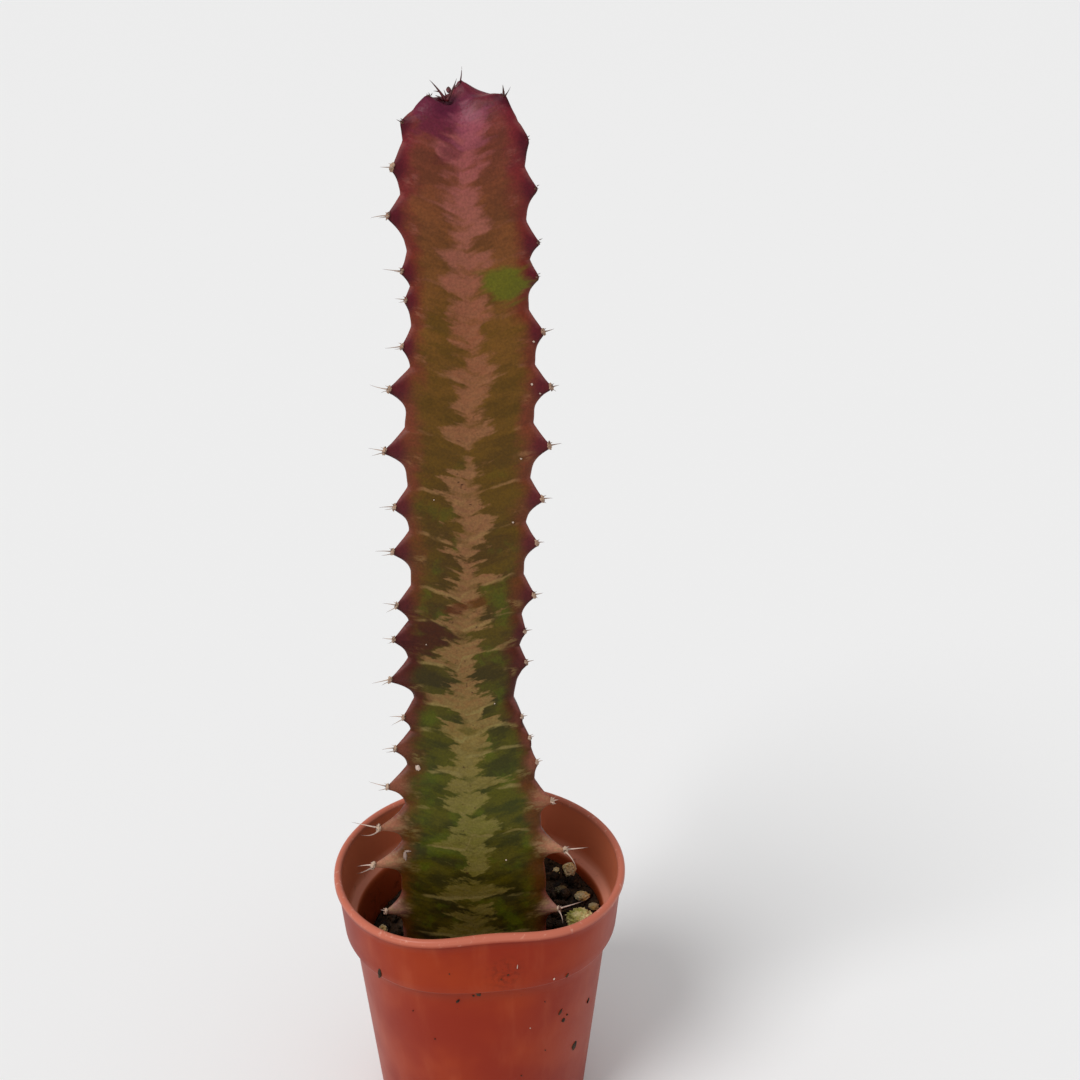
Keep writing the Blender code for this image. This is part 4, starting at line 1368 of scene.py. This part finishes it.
@dataclass
class GrowingTip:
    """The tiny leaves and young spines crowded round the growing point."""

    form: StemForm
    leaf_length: float = 1.3 * MM
    leaf_half_width: float = 0.36 * MM
    leaf_lean: float = 40.0
    leaf_curl: float = 0.5 * MM
    leaf_thickness: float = 0.16 * MM
    stand_off: float = 0.8 * MM
    leaves_at: Triple = (-1.6 * MM, -0.6 * MM, 0.0)
    bend: float = 0.12
    azimuths: tuple[float, ...] = (180.0, 20.0, 95.0)
    steps: tuple[float, ...] = (0.0, 0.12, 0.3, 0.5, 0.7, 0.86, 1.0)
    taper: tuple[float, ...] = (1.5, 1.1, 0.85, 0.62, 0.42, 0.24, 0.06)
    # Root from the growing point, way, length, all in millimetres, and thickness.
    young: tuple[tuple[Triple, Triple, float, float], ...] = (
        ((-2.0, -1.8, 0.5), (-2.0, 0.0, 3.3), 3.85, 0.24), ((-2.8, -1.8, 1.8), (-0.9, -0.1, 0.25), 1.1, 0.12),
        ((-1.9, -1.9, 0.5), (2.0, -0.3, 3.1), 3.7, 0.24), ((-1.9, -2.0, 1.1), (-0.2, -0.2, 0.9), 1.2, 0.13),
        ((-4.1, -1.4, 0.3), (-0.8, -0.3, 0.4), 0.9, 0.1), ((-4.3, -1.2, 0.5), (-0.1, -0.2, 0.9), 0.6, 0.09),
        ((0.1, 0.3, 3.0), (0.24, 0.1, 1.0), 2.3, 0.12), ((6.7, -3.6, -0.2), (0.1, -0.1, 1.0), 3.3, 0.38),
        ((6.5, -3.7, 0.1), (-0.7, -0.2, 0.6), 1.0, 0.2), ((-2.2, -1.1, -0.4), (-0.4, -0.5, 0.9), 0.9, 0.1),
    )

    def build(self, finish: bpy.types.Material) -> None:
        """Builds and dresses the leaves and the young spines."""
        _, height, _, _ = self.form.crest_at(self.form.crest_length)
        heart = Vector((self.form.outline_at(1.0)[1], 0.0, self.form.soil_level + height))
        place(self._young_spines(heart), finish, "young_leaf_skin")
        for number, azimuth in enumerate(self.azimuths, 1):
            place(self._leaf(number, azimuth, heart), finish, "young_leaf_skin", f"young_leaf_{number}")

    def _young_spines(self, heart: Vector) -> bpy.types.Object:
        """Makes the dark soft spines that stand round the growing point."""
        mould = Mould()
        for root, way, length, thick in self.young:
            start, aim = heart + Vector(root) * MM, Vector(way).normalized()
            bend = Vector((-aim.z, 0.0, aim.x)) * self.bend * length * MM
            path = [start + aim * length * MM * s + bend * s * s for s in self.steps]
            points, faces = tapered_tube(path, [thick * MM * r for r in self.taper], 8)
            mould.add(points, faces, along=[0.3 + 0.6 * s for s in self.steps for _ in range(8)])
        return mould.cast("young_spines")

    def _leaf(self, number: int, azimuth: float, heart: Vector) -> bpy.types.Object:
        """Makes one folded, pointed, slightly curled leaf.

        Args:
            number: The leaf's number, which names it.
            azimuth: The way it leans.
            heart: The growing point.

        Returns:
            The leaf.
        """
        mould, rings, sides = Mould(), 12, 12
        turn = Euler((0.0, math.radians(self.leaf_lean), math.radians(azimuth))).to_matrix()
        points, along = [], []
        for i in range(rings):
            s = i / (rings - 1)
            wide = self.leaf_half_width * (math.sin(math.pi * (0.12 + 0.86 * s)) ** 0.8) + 0.03 * MM
            for k in range(sides):
                angle = 2.0 * math.pi * k / sides
                y = wide * math.cos(angle)
                fold = 0.5 * abs(y) * (1.0 - s)
                x = self.leaf_thickness * (1.0 - 0.6 * s) * math.sin(angle) + fold + self.leaf_curl * s * s
                points.append(turn @ Vector((x, y, self.leaf_length * s)))
                along.append(s)
        base = heart + polar(self.stand_off, azimuth) + Vector(self.leaves_at)
        base.z += self.form.peak_at(base.x, base.y, 1.0) + 0.15 * MM
        mould.add([base + point for point in points], ring_faces(rings, sides), along=along)
        return mould.cast(f"leaf_{number}")


# ---- pot ---------------------------------------------------------------------------
@dataclass
class Pot:
    """The collared nursery pot, pushed in at the front where it is soft."""

    height: float = 54.0 * MM
    rim_radius: float = 27.5 * MM
    collar_height: float = 11.5 * MM
    collar_foot_radius: float = 26.0 * MM
    body_top_radius: float = 24.4 * MM
    foot_radius: float = 20.0 * MM
    wall: float = 0.8 * MM
    lip_overhang: float = 0.6 * MM
    lip_depth: float = 1.4 * MM
    floor_thickness: float = 1.2 * MM
    foot_recess: float = 0.8 * MM
    foot_ring_width: float = 4.0 * MM
    foot_pad_radius: float = 5.5 * MM
    foot_chamfer: float = 0.8 * MM
    drain_holes: int = 4
    drain_hole_radius: float = 2.2 * MM
    drain_circle_radius: float = 10.5 * MM
    dent_azimuth: float = -83.0
    dent_spread: float = 22.0
    dent_depth: float = 4.3 * MM
    dent_rise: float = 0.9 * MM
    dent_fades_at: float = 15.0 * MM
    steps: int = 224
    ledge_rows: tuple[int, ...] = (16, 17, 18)

    @property
    def step(self) -> float:
        """The height of the step under the collar."""
        return self.height - self.collar_height

    def body_radius(self, height: float) -> float:
        """Gives the outer radius of the tapered body."""
        return self.foot_radius + (self.body_top_radius - self.foot_radius) * height / self.step

    def dent_at(self, azimuth: float, height: float) -> float:
        """Gives how much of the dent there is at a place, from 0 to 1."""
        away = (azimuth - self.dent_azimuth + 180.0) % 360.0 - 180.0
        up = max(0.0, (height - self.dent_fades_at) / (self.height - self.dent_fades_at))
        return math.exp(-0.5 * (away / self.dent_spread) ** 2) * up * up

    def squeezed(self, point: Vector) -> Vector:
        """Gives where a point of the round pot goes when its front is pushed in."""
        radius = math.hypot(point.x, point.y)
        azimuth = math.degrees(math.atan2(point.y, point.x))
        share = self.dent_at(azimuth, point.z) * smooth_step(radius / self.body_top_radius)
        return polar(radius - share * self.dent_depth, azimuth, point.z + share * self.dent_rise)

    def _profile(self) -> list[Point]:
        """Gives radius and height from the inner floor's middle, over the lip, to the
        foot's middle."""
        wall, step, chamfer, recess = self.wall, self.step, self.foot_chamfer, self.foot_recess
        floor, ledge, below = recess + self.floor_thickness, step + wall, step - 0.7 * MM
        lip, collar = self.rim_radius - self.lip_overhang, self.collar_foot_radius
        hem, under_lip, throat = collar - wall, self.height - self.lip_depth, self.body_radius(step)
        ring_inner, pad = self.foot_radius - self.foot_ring_width, self.foot_pad_radius
        half = 0.5 * (wall + self.lip_overhang)
        profile = run((self.body_radius(floor) - wall, floor), (self.body_radius(step - wall) - wall, step - wall), 14)
        profile += [
            (throat - wall + 0.1 * MM, ledge - 0.3 * MM), (throat - wall + 0.35 * MM, ledge),
            (hem - 0.35 * MM, ledge + 0.28 * MM),
        ]
        profile += run((hem, ledge + 0.65 * MM), (hem + lip - collar, under_lip), 5)
        for i in range(13):
            turn = math.pi * (1.0 - i / 12)
            profile.append((self.rim_radius - half + half * math.cos(turn), self.height - half + half * math.sin(turn)))
        profile += [
            (self.rim_radius, under_lip + 0.3 * MM), (self.rim_radius - 0.12 * MM, under_lip + 0.08 * MM),
            (lip + 0.12 * MM, under_lip),
        ]
        top, drop = under_lip - 0.15 * MM, step + 0.4 * MM - (under_lip - 0.15 * MM)
        profile += [(lip + (collar - lip) * s, top + drop * s) for s in (0.0, 0.16, 0.33, 0.5, 0.66, 0.83, 1.0)]
        profile += [
            (collar - 0.12 * MM, step + 0.12 * MM), (collar - 0.4 * MM, step - 0.05 * MM),
            (throat + 0.25 * MM, step - 0.25 * MM), (throat, below),
        ]
        profile += run((self.body_radius(below), below), (self.body_radius(chamfer), chamfer), 16)[1:]
        for turn in (math.radians(22.5 * i) for i in range(1, 5)):
            inward = chamfer * (1.0 - math.cos(turn))
            profile.append((self.foot_radius - inward, chamfer * (1.0 - math.sin(turn))))
        foot = [(ring_inner, 0.0), (ring_inner - recess, recess), (pad + recess, recess), (pad, 0.0)]
        return profile + foot

    def build(self, finish: bpy.types.Material) -> None:
        """Builds the pot, drills its drain holes and dresses it."""
        mould, profile = Mould(), self._profile()
        points, inside, lips, ledge = [], [], [], []
        top = max(range(len(profile)), key=lambda i: profile[i][1])
        for number, (radius, height) in enumerate(profile):
            near_lip = smooth_step((height - (self.height - self.lip_depth)) / (0.5 * self.lip_depth))
            for k in range(self.steps):
                points.append(self.squeezed(polar(radius, 360.0 * k / self.steps, height)))
                inside.append(1.0 if number < top - 3 else 0.0)
                lips.append(near_lip)
                ledge.append(1.0 if number in self.ledge_rows else 0.0)
        mould.add(points, ring_faces(len(profile), self.steps), inside=inside, lip=lips, ledge=ledge)
        pot = mould.cast("pot_shell")
        self._drill(pot)
        pot.data.set_sharp_from_angle(angle=math.radians(50.0))
        place(pot, finish, "pot_plastic", "pot")

    def _drill(self, pot: bpy.types.Object) -> None:
        """Cuts the drain holes through the floor and leaves no modifier behind."""
        shape = bmesh.new()
        depth = 4.0 * (self.foot_recess + self.floor_thickness)
        for i in range(self.drain_holes):
            spot = polar(self.drain_circle_radius, 45.0 + 360.0 * i / self.drain_holes, 0.25 * depth)
            bmesh.ops.create_cone(shape, cap_ends=True, segments=40, radius1=self.drain_hole_radius,
                                  radius2=self.drain_hole_radius, depth=depth, matrix=Matrix.Translation(spot))
        mesh = bpy.data.meshes.new("drain_drill")
        shape.to_mesh(mesh)
        shape.free()
        drill = bpy.data.objects.new("drain_drill", mesh)
        bpy.context.scene.collection.objects.link(drill)
        cut = pot.modifiers.new("drain", "BOOLEAN")
        cut.object, cut.operation, cut.solver = drill, "DIFFERENCE", "EXACT"
        bpy.context.view_layer.update()
        graph = bpy.context.evaluated_depsgraph_get()
        pot.data = bpy.data.meshes.new_from_object(pot.evaluated_get(graph))
        pot.modifiers.clear()
        bpy.data.objects.remove(drill)


@dataclass
class WallFlecks:
    """Flecks of compost stuck to the outside of the pot."""

    pot: Pot
    seed: int = 11
    # Azimuth in degrees, then height, length and width in millimetres.
    flecks: tuple[tuple[float, ...], ...] = (
        (-132.8, 43.5, 2.2, 0.9), (-98.5, 39.9, 1.0, 0.5), (-89.3, 41.4, 1.2, 0.9), (-91.4, 41.0, 0.5, 0.4),
        (-50.0, 43.2, 0.9, 0.3), (-49.2, 33.3, 1.4, 0.5), (-47.0, 30.8, 0.9, 0.9), (-44.8, 31.6, 0.4, 0.4),
        (-36.4, 21.5, 1.9, 1.5), (-27.5, 30.1, 1.2, 0.6), (-56.7, 25.4, 0.3, 0.25), (-76.0, 46.0, 0.5, 0.2),
        (-79.0, 45.2, 0.4, 0.2), (-101.0, 47.0, 0.3, 0.25), (-58.0, 37.4, 0.3, 0.2), (-110.0, 30.5, 0.3, 0.3),
        (-69.0, 21.0, 0.35, 0.25), (-120.0, 36.0, 0.35, 0.2),
    )
    pale_flecks: tuple[tuple[float, ...], ...] = (
        (-56.2, 43.5, 0.4, 0.35), (-65.1, 32.2, 0.25, 0.2), (-89.6, 41.8, 0.5, 0.4), (-72.0, 47.4, 0.9, 0.15),
    )
    back_count: int = 26
    back_ranges: tuple[Point, ...] = ((0.0, 180.0), (14.0, 51.0), (0.2, 0.8), (0.2, 0.5))

    def build(self, finish: bpy.types.Material, pale_finish: bpy.types.Material) -> None:
        """Builds and dresses the flecks, those listed and some round the back."""
        uneven = random.Random(self.seed)
        rows = list(self.flecks)
        for _ in range(self.back_count):
            rows.append(tuple(uneven.uniform(*ends) for ends in self.back_ranges))
        place(self._stuck("wall_flecks", rows, uneven), finish, "potting_soil")
        place(self._stuck("pale_flecks", list(self.pale_flecks), uneven), pale_finish, "potting_soil")

    def _stuck(self, name: str, rows: list[tuple[float, ...]], uneven: random.Random) -> bpy.types.Object:
        """Presses flat flecks on the pot's wall.

        Args:
            name: The piece's name.
            rows: Azimuth, height, length and width of each fleck.
            uneven: Turns each one its own way.

        Returns:
            The piece.
        """
        mould, ball, pot = Mould(), unit_ball(2), self.pot
        for number, (azimuth, height_mm, length, width) in enumerate(rows):
            height = height_mm * MM
            radius = pot.body_radius(height)
            if height > pot.step + 0.4 * MM:
                flare = pot.rim_radius - pot.lip_overhang - pot.collar_foot_radius
                radius = pot.collar_foot_radius + flare * (height - pot.step) / pot.collar_height
            out, across = polar(1.0, azimuth), polar(1.0, azimuth + 90.0)
            lean = uneven.uniform(-0.9, 0.9)
            long_way = (across * math.sin(lean) + Vector((0.0, 0.0, math.cos(lean)))).normalized()
            mould.lump(
                ball, pot.squeezed(polar(radius, azimuth, height)) + out * 0.04 * MM,
                Matrix((long_way.cross(out), long_way, out)).transposed(),
                Vector((width * 0.5, length * 0.5, 0.16)) * MM, Vector((number * 2.3, 0.0, 5.0)), (0.45, 1.6),
                level=0.1, along=0.4, pale=0.9,
            )
        return mould.cast(name)


# ---- soil --------------------------------------------------------------------------
@dataclass
class Soil:
    """The compost in the pot: a crumbly bed, loose crumbs and fibres."""

    pot: Pot
    form: StemForm
    below_rim: float = 16.5 * MM
    slope_x: float = 0.16
    slope_y: float = 0.08
    bump: float = 0.35 * MM
    gap: float = 0.25 * MM
    rings: int = 64
    steps: int = 200
    crumbs: int = 520
    crumb_size: float = 0.5 * MM
    widest: float = 23.0 * MM
    roughness: float = 0.75 * MM
    fibres: int = 70
    seed: int = 3

    def height(self, x: float, y: float) -> float:
        """Gives the bed's smooth height at a place."""
        lumps = math.sin(520.0 * x + 1.0) * math.cos(610.0 * y) + 0.6 * math.sin(330.0 * (x + y))
        level = self.pot.height - self.below_rim
        return level + self.slope_x * x + self.slope_y * y + self.bump * lumps

    def reach(self, azimuth: float, height: float) -> float:
        """Gives how far the bed goes before the pot's wall."""
        bare = polar(self.pot.body_radius(height) - self.pot.wall - self.gap, azimuth, height)
        return math.hypot(*self.pot.squeezed(bare).xy)

    def build(self, finish: bpy.types.Material) -> None:
        """Builds and dresses the bed, the crumbs and the fibres."""
        place(self._bed(), finish, "potting_soil", "soil")
        place(self._loose_crumbs(), finish, "potting_soil")
        place(self._fibre_tangle(), finish, "potting_soil")

    def _bed(self) -> bpy.types.Object:
        """Makes the bed's crumbly top and its plain plug below."""
        mould, points = Mould(), []
        floor = self.pot.foot_recess + self.pot.floor_thickness + self.gap
        for ring in range(1, self.rings + 1):
            share = ring / self.rings
            for k in range(self.steps):
                azimuth = 360.0 * k / self.steps
                rough = polar(self.reach(azimuth, self.pot.height - self.below_rim) * share, azimuth)
                height = self.height(rough.x, rough.y)
                spot = polar(self.reach(azimuth, height) * share, azimuth, height)
                crumb = noise.noise(spot * 900.0) + 0.7 * abs(noise.noise(spot * 1900.0)) - 0.2
                spot.z += self.roughness * crumb * (1.0 - share**8)
                points.append(spot)
        for share in (0.8, 0.5, 0.2, 0.0):
            for k in range(self.steps):
                azimuth = 360.0 * k / self.steps
                height = floor + share * (self.pot.height - self.below_rim - floor - 5.0 * MM)
                points.append(polar(self.reach(azimuth, height), azimuth, height))
        mould.add(points, ring_faces(self.rings + 4, self.steps))
        return mould.cast("compost_bed")

    def _clear_spot(self, uneven: random.Random, margin: float) -> Vector:
        """Picks a place on the bed that is clear of the stem and the wall."""
        while True:
            azimuth, radius = uneven.uniform(0.0, 360.0), self.widest * math.sqrt(uneven.random())
            spot = polar(radius, azimuth)
            spot.z = self.height(spot.x, spot.y)
            if radius < self.reach(azimuth, spot.z) - margin and self._outside_stem(spot, margin):
                return spot

    def _outside_stem(self, spot: Vector, margin: float) -> bool:
        """Tells whether a place is outside the stem's foot by a margin."""
        radius, drift = self.form.outline_at(0.02)
        x, y = spot.x - drift, spot.y
        for rib in Rib:
            along = x * math.cos(math.radians(rib.value)) + y * math.sin(math.radians(rib.value))
            aside = abs(-x * math.sin(math.radians(rib.value)) + y * math.cos(math.radians(rib.value)))
            if 0.0 < along < radius + margin and aside < 2.2 * MM + margin:
                return False
        return math.hypot(x, y) > 0.62 * radius + margin

    def _loose_crumbs(self) -> bpy.types.Object:
        """Scatters irregular crumbs over the bed."""
        mould, uneven, ball = Mould(), random.Random(self.seed), unit_ball(2)
        for number in range(self.crumbs):
            size = self.crumb_size * (0.55 + 2.3 * uneven.random() ** 2.0)
            centre = self._clear_spot(uneven, size) + Vector((0.0, 0.0, 0.35 * size))
            turn = Euler([uneven.uniform(0.0, 6.28) for _ in range(3)]).to_matrix()
            squash = Vector((1.0, uneven.uniform(0.6, 1.0), uneven.uniform(0.45, 0.85)))
            mould.lump(ball, centre, turn, squash * size, Vector((number * 1.7, 3.0, 0.0)), (0.5, 1.5))
        return mould.cast("compost_crumbs")

    def _fibre_tangle(self) -> bpy.types.Object:
        """Lays thin curled fibres on the bed."""
        mould, uneven = Mould(), random.Random(self.seed + 1)
        for _ in range(self.fibres):
            length = uneven.uniform(1.5, 4.0) * MM
            spot = self._clear_spot(uneven, 0.7 * length)
            heading, curl = uneven.uniform(0.0, 6.28), uneven.uniform(-1.6, 1.6)
            path = []
            for s in (-0.5, -0.3, -0.1, 0.1, 0.3, 0.5):
                angle = heading + curl * s
                at = spot + Vector((math.cos(angle), math.sin(angle), 0.0)) * length * s
                at.z = self.height(at.x, at.y) + 0.35 * MM + 0.5 * MM * (0.25 - s * s) * uneven.uniform(0.5, 2.0)
                path.append(at)
            thick = uneven.uniform(0.04, 0.1) * MM
            points, faces = tapered_tube(path, [0.4 * thick, thick, thick, thick, thick, 0.3 * thick], 6)
            mould.add(points, faces)
        return mould.cast("compost_fibres")


# ---- top dressing --------------------------------------------------------------------
class GritKind(Enum):
    """What a loose piece on the soil is."""

    PUMICE = "pumice_grain"
    BARK = "bark_chip"
    MOSS = "moss_clump"


# How a loose piece outgrows its node's box along X, Y and Z, and how dark a stone it is.
LUMP_HABITS: dict[str, tuple[Triple, float]] = {
    "pumice_grain_1": ((1.0, 1.05, 1.6), 0.0),
    "pumice_grain_2": ((1.3, 1.3, 1.5), 0.1),
    "pumice_grain_3": ((1.35, 1.2, 0.7), 0.85),
    "pumice_grain_4": ((1.2, 1.1, 0.65), 0.3),
    "pumice_grain_5": ((1.2, 1.1, 0.75), 0.6),
    "moss_clump": ((1.3, 1.15, 1.3), 0.0),
}


@dataclass
class TopDressing:
    """The loose pumice grains, bark chips and mossy clump on the soil."""

    pumice_count: int = 13
    bark_count: int = 4

    def build(self, pumice: bpy.types.Material, bark: bpy.types.Material, moss: bpy.types.Material) -> None:
        """Builds each loose piece where the model has it and dresses it."""
        for number in range(1, self.pumice_count + 1):
            node = f"{GritKind.PUMICE.value}_{number}"
            place(self._lump(node, GritKind.PUMICE, number), pumice, "pumice", node)
        for number in range(1, self.bark_count + 1):
            node = f"{GritKind.BARK.value}_{number}"
            place(self._lump(node, GritKind.BARK, 40 + number), bark, "bark", node)
        node = GritKind.MOSS.value
        place(self._lump(node, GritKind.MOSS, 80), moss, "mossy_grit", node)

    @staticmethod
    def _lump(node: str, kind: GritKind, number: int) -> bpy.types.Object:
        """Shapes one loose piece to its node's box.

        Args:
            node: The model's node that it stands for.
            kind: What it is made of.
            number: Sets its own random shape.

        Returns:
            The piece.
        """
        low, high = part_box(node)
        centre, half = (low + high) / 2.0, (high - low) / 2.0
        swell, shade = LUMP_HABITS.get(node, ((1.0, 1.0, 1.0), 0.0))
        centre.z += half.z * (swell[2] - 1.0)
        half *= Vector(swell)
        ball, faces = unit_ball(5 if kind is not GritKind.BARK else 4)
        offset = Vector((number * 5.3, number * 1.9, 0.0))
        points = []
        for spot in ball:
            if kind is GritKind.PUMICE:
                facet = noise.voronoi(spot * 1.1 + offset)[0][0]
                pits = noise.voronoi(spot * 4.2 + offset)[0][0]
                lump = 1.0 + 0.5 * (facet - 0.5) - 0.18 * max(0.0, 0.34 - pits) / 0.34
                lump += 0.22 * noise.noise(spot * 2.6 + offset)
            elif kind is GritKind.BARK:
                split = noise.noise(Vector((spot.x * 0.8, spot.y * 6.0, spot.z * 4.0)) + offset)
                lump = 1.0 + 0.22 * noise.noise(spot * 1.4 + offset) + 0.1 * split
            else:
                tufts = noise.voronoi(spot * 3.4 + offset)[0][0]
                lump = 0.96 + 0.34 * (0.55 - tufts) + 0.14 * noise.noise(spot * 7.0 + offset)
            points.append(centre + spot * half * lump)
        mould = Mould()
        mould.add(points, faces, shade=[shade] * len(points))
        return mould.cast(f"{node}_shaped")


# ---- studio ------------------------------------------------------------------------
@dataclass
class Studio:
    """The pale floor, the soft lights and the camera."""

    eye: Triple = (0.01138, -0.23539, 0.22502)
    down_tilt: float = 66.12
    lens: float = 50.0
    sensor: float = 36.0
    floor_size: float = 12.0
    floor_drop: float = 0.2 * MM
    floor_colour: Colour = (0.9, 0.9, 0.9)
    sky: float = 0.52
    key: float = 1.75
    key_from: Triple = (-0.5, -0.5, 0.85)
    key_softness: float = 28.0

    def build(self) -> None:
        """Sets the floor, the light, the surroundings and the camera."""
        self._floor()
        self._world()
        self._key()
        self._camera()
        bpy.context.scene.view_settings.view_transform = "Standard"

    def _floor(self) -> None:
        """Lays a plain pale floor."""
        half = self.floor_size / 2.0
        spread = ((-half, -half), (half, -half), (half, half), (-half, half))
        floor = mesh_piece("floor", [Vector((x, y, -self.floor_drop)) for x, y in spread], [(0, 1, 2, 3)])
        made, _, shader = new_finish("floor", Gloss(roughness=0.9, specular=0.1))
        shader.inputs["Base Color"].default_value = (*self.floor_colour, 1.0)
        floor.data.materials.append(made)

    def _world(self) -> None:
        """Fills the surroundings with even white light."""
        world = bpy.data.worlds.new("studio")
        world.use_nodes = True
        background = world.node_tree.nodes["Background"]
        background.inputs["Color"].default_value = (1.0, 1.0, 1.0, 1.0)
        background.inputs["Strength"].default_value = self.sky
        bpy.context.scene.world = world

    def _key(self) -> None:
        """Hangs one large soft light up to the left of the camera."""
        lamp = bpy.data.lights.new("key", "SUN")
        lamp.energy, lamp.angle = self.key, math.radians(self.key_softness)
        made = bpy.data.objects.new("key", lamp)
        made.rotation_euler = Vector(self.key_from).to_track_quat("Z", "Y").to_euler()
        bpy.context.scene.collection.objects.link(made)

    def _camera(self) -> None:
        """Places the camera above and in front, tilted down at the plant."""
        lens = bpy.data.cameras.new("camera")
        lens.lens, lens.sensor_width = self.lens, self.sensor
        lens.clip_start, lens.clip_end = 0.01, 30.0
        made = bpy.data.objects.new("camera", lens)
        made.location = self.eye
        made.rotation_euler = (math.radians(self.down_tilt), 0.0, 0.0)
        bpy.context.scene.collection.objects.link(made)
        bpy.context.scene.camera = made


def main() -> None:
    """Loads the frame, builds the studio and every piece."""
    logging.basicConfig(level=logging.INFO, format="%(message)s")
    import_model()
    Studio().build()
    effects = Effects()
    form, pot = StemForm(), Pot()
    compost = EarthFinish().make(effects)
    woody = SpineFinish().make(effects)
    pot.build(PotFinish().make(effects))
    WallFlecks(pot).build(compost, woody)
    Soil(pot, form).build(compost)
    Stem(form).build(SkinFinish().make(effects), woody)
    GrowingTip(form).build(LeafFinish().make(effects))
    TopDressing().build(
        StoneFinish().make(effects),
        EarthFinish("bark", seen(52, 36, 26), seen(96, 68, 46), seen(140, 104, 70), 0.2).make(effects),
        StoneFinish(
            "mossy_clump", seen(232, 218, 160), seen(168, 166, 84), seen(104, 92, 44), stained=0.5,
        ).make(effects),
    )


if __name__ == "__main__":
    main()
